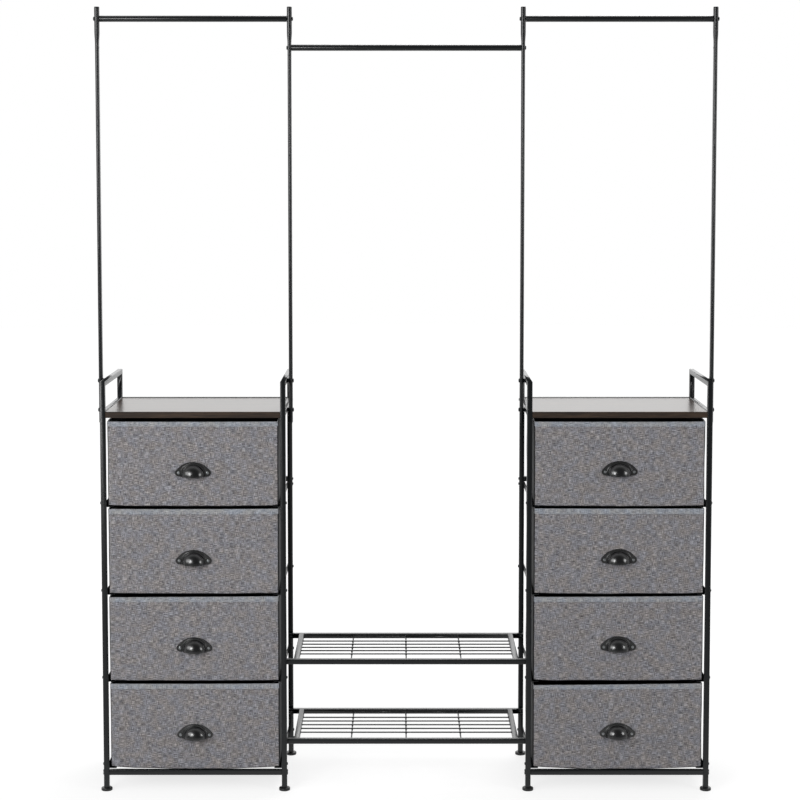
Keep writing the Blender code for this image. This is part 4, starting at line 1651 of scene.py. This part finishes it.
    def lay_pattern(self, bm: bmesh.types.BMesh) -> None:
        """Gives every face the cloth's own flat coordinates, in metres.

        Args:
            bm: the drawer's shape.
        """
        layer = bm.loops.layers.uv.new(CLOTH_MAP)
        shift = self.number * self.cut_shift
        for face in bm.faces:
            n = face.normal
            for loop in face.loops:
                p = loop.vert.co
                if abs(n.y) >= max(abs(n.x), abs(n.z)):
                    u, v = p.x, p.z
                elif abs(n.x) >= abs(n.z):
                    u, v = p.y + math.copysign(self.side_shift, n.x), p.z
                else:
                    u, v = p.x, p.y + self.base_shift
                loop[layer].uv = (u + shift, v + shift)

    def build(self) -> None:
        """Builds the drawer and its pull."""
        node = f"{self.name}_box"
        low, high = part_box(node)
        size = high - low
        bm = self.shell(size)
        self.stitches(bm, size)
        self.lay_pattern(bm)
        place = Vector(((low.x + high.x) / 2, low.y, low.z))
        bmesh.ops.translate(bm, vec=place, verts=bm.verts[:])
        finishes = DRAWER_FINISHES.values()
        add_piece(f"{self.name}_cloth", bm, self.name, finishes, [node], degrees=60.0)
        CupPull(self.name, PULL_LIFTS[self.name.split("_")[1]]).build()


def dress_boards() -> None:
    """Gives the two top boards their walnut foil."""
    for dresser in Dresser:
        board = frame["nodes"][f"top_board_{dresser.name.lower()}"]
        board.material_slots[0].material = WALNUT.material()
        log.info("%s: %s", board.name, WALNUT.name)


@dataclass
class Studio:
    """Pale floor, white surroundings and soft lamps, with the camera close to the photograph's.

    Attributes:
        camera: the camera's place.
        down_degrees: how far it looks down.
        lens_mm: its focal length.
        sensor_mm: its sensor's width.
        shift: the picture's offset across and up.
        sky: strength of the surroundings' light.
        sky_turn: how far back a mirrored ray points where the mirrored surroundings start and
            end to brighten.
        sky_mirror: their strength there.
        floor_radius: radius of the floor.
        floor_reach: distances from the middle between which the floor's glow grows.
        floor_glow: its strength there.
        floor_turn: places front to back between which its mirrored glow grows.
        floor_mirror: the share of the glow there.
        aim: the point that the lamps face.
        lamps: place, width, height and power of each soft lamp.
    """

    camera: Vector = Vector((-0.0182, -4.6376, 1.4970))
    down_degrees: float = 4.2
    lens_mm: float = 85.033
    sensor_mm: float = 36.0
    shift: tuple[float, float] = (0.0016, -0.1100)
    sky: float = 0.42
    sky_turn: tuple[float, float] = (-0.6, 0.7)
    sky_mirror: tuple[float, float] = (0.10, 1.6)
    floor_radius: float = 14.0
    floor_reach: tuple[float, float] = (0.8, 3.0)
    # floor_glow: its strength there. The glow grows outwards where the lamps' light falls off, and is
    # weaker near the middle, which darkens the floor round the rack: painted shade.
    floor_glow: tuple[float, float] = (0.77, 0.90)
    floor_turn: tuple[float, float] = (-1.0, 0.3)
    floor_mirror: tuple[float, float] = (0.15, 1.0)
    aim: Vector = Vector((0, 0, 0.9))
    lamps: tuple[tuple[Vector, tuple[float, float], float], ...] = (
        (Vector((-3.0, -2.9, 2.1)), (4.0, 1.7), 62.0),
        (Vector((-2.2, -3.6, 1.8)), (1.3, 1.3), 36.0),
        (Vector((3.2, -2.2, 1.6)), (1.2, 1.2), 24.0),
        (Vector((0.6, 1.8, 3.4)), (2.4, 2.4), 60.0),
    )

    def place_camera(self) -> None:
        """Sets up the camera."""
        data = bpy.data.cameras.new("photograph")
        data.lens = self.lens_mm
        data.sensor_width = self.sensor_mm
        data.shift_x, data.shift_y = self.shift
        item = bpy.data.objects.new("photograph", data)
        item.location = self.camera
        item.rotation_euler = (math.radians(90 - self.down_degrees), 0, 0)
        bpy.context.scene.collection.objects.link(item)
        bpy.context.scene.camera = item

    def seen_directly(self, tree: bpy.types.NodeTree) -> bpy.types.NodeSocket:
        """Tells rays that show a surface in the picture from those that carry light.

        Args:
            tree: the node tree.

        Returns:
            A socket that is 1 for camera rays and rays through glass, and 0 for all others.
        """
        path = add_node(tree, "ShaderNodeLightPath")
        rays = {0: path.outputs["Is Camera Ray"], 1: path.outputs["Is Transmission Ray"]}
        return add_node(tree, "ShaderNodeMath", {"operation": "MAXIMUM"}, rays).outputs[0]

    def lay_floor(self) -> None:
        """Lays a pale floor that glows enough to meet the white and still takes the shadow; its weaker
        glow near the middle is painted shade round the rack.
        """
        bm = bmesh.new()
        bmesh.ops.create_circle(bm, cap_ends=True, segments=96, radius=self.floor_radius)
        floor = new_object("floor", bm)
        material = bpy.data.materials.new("pale studio floor")
        material.use_nodes = True
        tree = material.node_tree
        shader = tree.nodes["Principled BSDF"]
        shader.inputs["Base Color"].default_value = linear("#9a9a9a")
        shader.inputs["Roughness"].default_value = 0.9
        shader.inputs["Specular IOR Level"].default_value = 0.0
        shader.inputs["Emission Color"].default_value = linear("#ffffff")
        place = add_node(tree, "ShaderNodeTexCoord").outputs["Object"]
        far = add_node(tree, "ShaderNodeVectorMath", {"operation": "LENGTH"}, {0: place})
        depth = add_node(tree, "ShaderNodeSeparateXYZ", inputs={"Vector": place})
        values = []
        # The glow is weaker near the middle: painted shade on the floor round the rack.
        for value, span, strength in (
            (far.outputs["Value"], self.floor_reach, self.floor_glow),
            (depth.outputs["Y"], self.floor_turn, self.floor_mirror),
        ):
            inputs = {"Value": value, "From Min": span[0], "From Max": span[1]}
            inputs |= {"To Min": strength[0], "To Max": strength[1]}
            values.append(add_node(tree, "ShaderNodeMapRange", inputs=inputs).outputs["Result"])
        glow, behind = values
        glossy = add_node(tree, "ShaderNodeLightPath").outputs["Is Glossy Ray"]
        mirrored = add_node(tree, "ShaderNodeMath", {"operation": "MULTIPLY"}, {0: glossy, 1: behind})
        rays = {0: self.seen_directly(tree), 1: mirrored.outputs[0]}
        seen = add_node(tree, "ShaderNodeMath", {"operation": "MAXIMUM"}, rays).outputs[0]
        shown = add_node(tree, "ShaderNodeMath", {"operation": "MULTIPLY"}, {0: glow, 1: seen})
        tree.links.new(shown.outputs[0], shader.inputs["Emission Strength"])
        floor.data.materials.append(material)

    def light(self) -> None:
        """Sets up the surroundings and the lamps."""
        world = bpy.data.worlds.new("white studio")
        world.use_nodes = True
        tree = world.node_tree
        background = tree.nodes["Background"]
        path = add_node(tree, "ShaderNodeLightPath")
        ray = add_node(tree, "ShaderNodeTexCoord").outputs["Generated"]
        parts = add_node(tree, "ShaderNodeSeparateXYZ", inputs={"Vector": ray})
        inputs = {
            "Value": parts.outputs["Y"],
            "From Min": self.sky_turn[0],
            "From Max": self.sky_turn[1],
            "To Min": self.sky_mirror[0],
            "To Max": self.sky_mirror[1],
        }
        behind = add_node(tree, "ShaderNodeMapRange", inputs=inputs).outputs["Result"]
        strength = self.sky
        for rays, seen in ((path.outputs["Is Glossy Ray"], behind), (self.seen_directly(tree), 1.0)):
            inputs = {0: rays, 2: strength, 3: seen}
            strength = add_node(tree, "ShaderNodeMix", {"data_type": "FLOAT"}, inputs).outputs[0]
        tree.links.new(strength, background.inputs["Strength"])
        background.inputs["Color"].default_value = linear("#ffffff")
        bpy.context.scene.world = world
        for i, (place, size, power) in enumerate(self.lamps):
            data = bpy.data.lights.new(f"soft_lamp_{i}", "AREA")
            data.shape = "ELLIPSE"
            data.size, data.size_y = size
            data.energy = power
            lamp = bpy.data.objects.new(f"soft_lamp_{i}", data)
            lamp.location = place
            lamp.rotation_euler = (self.aim - place).to_track_quat("-Z", "Y").to_euler()
            bpy.context.scene.collection.objects.link(lamp)

    def build(self) -> None:
        """Sets up the whole studio."""
        self.place_camera()
        self.lay_floor()
        self.light()
        bpy.context.scene.view_settings.view_transform = "Standard"


def main() -> None:
    """Builds every piece of the rack and the studio round it."""
    Studio().build()
    work = SteelWork()
    work.build()
    for level in ("lower", "upper"):
        WireShelf(level).build(work)
    HangingRail().build()
    dress_boards()
    for node in sorted(frame["nodes"]):
        if node.startswith("foot_"):
            LevellingFoot(node).build()
    drawers = sorted(name for name in frame["bodies"] if name.startswith("drawer_"))
    for number, name in enumerate(drawers):
        Drawer(name, number, HANGS[name]).build()


if __name__ == "__main__":
    main()
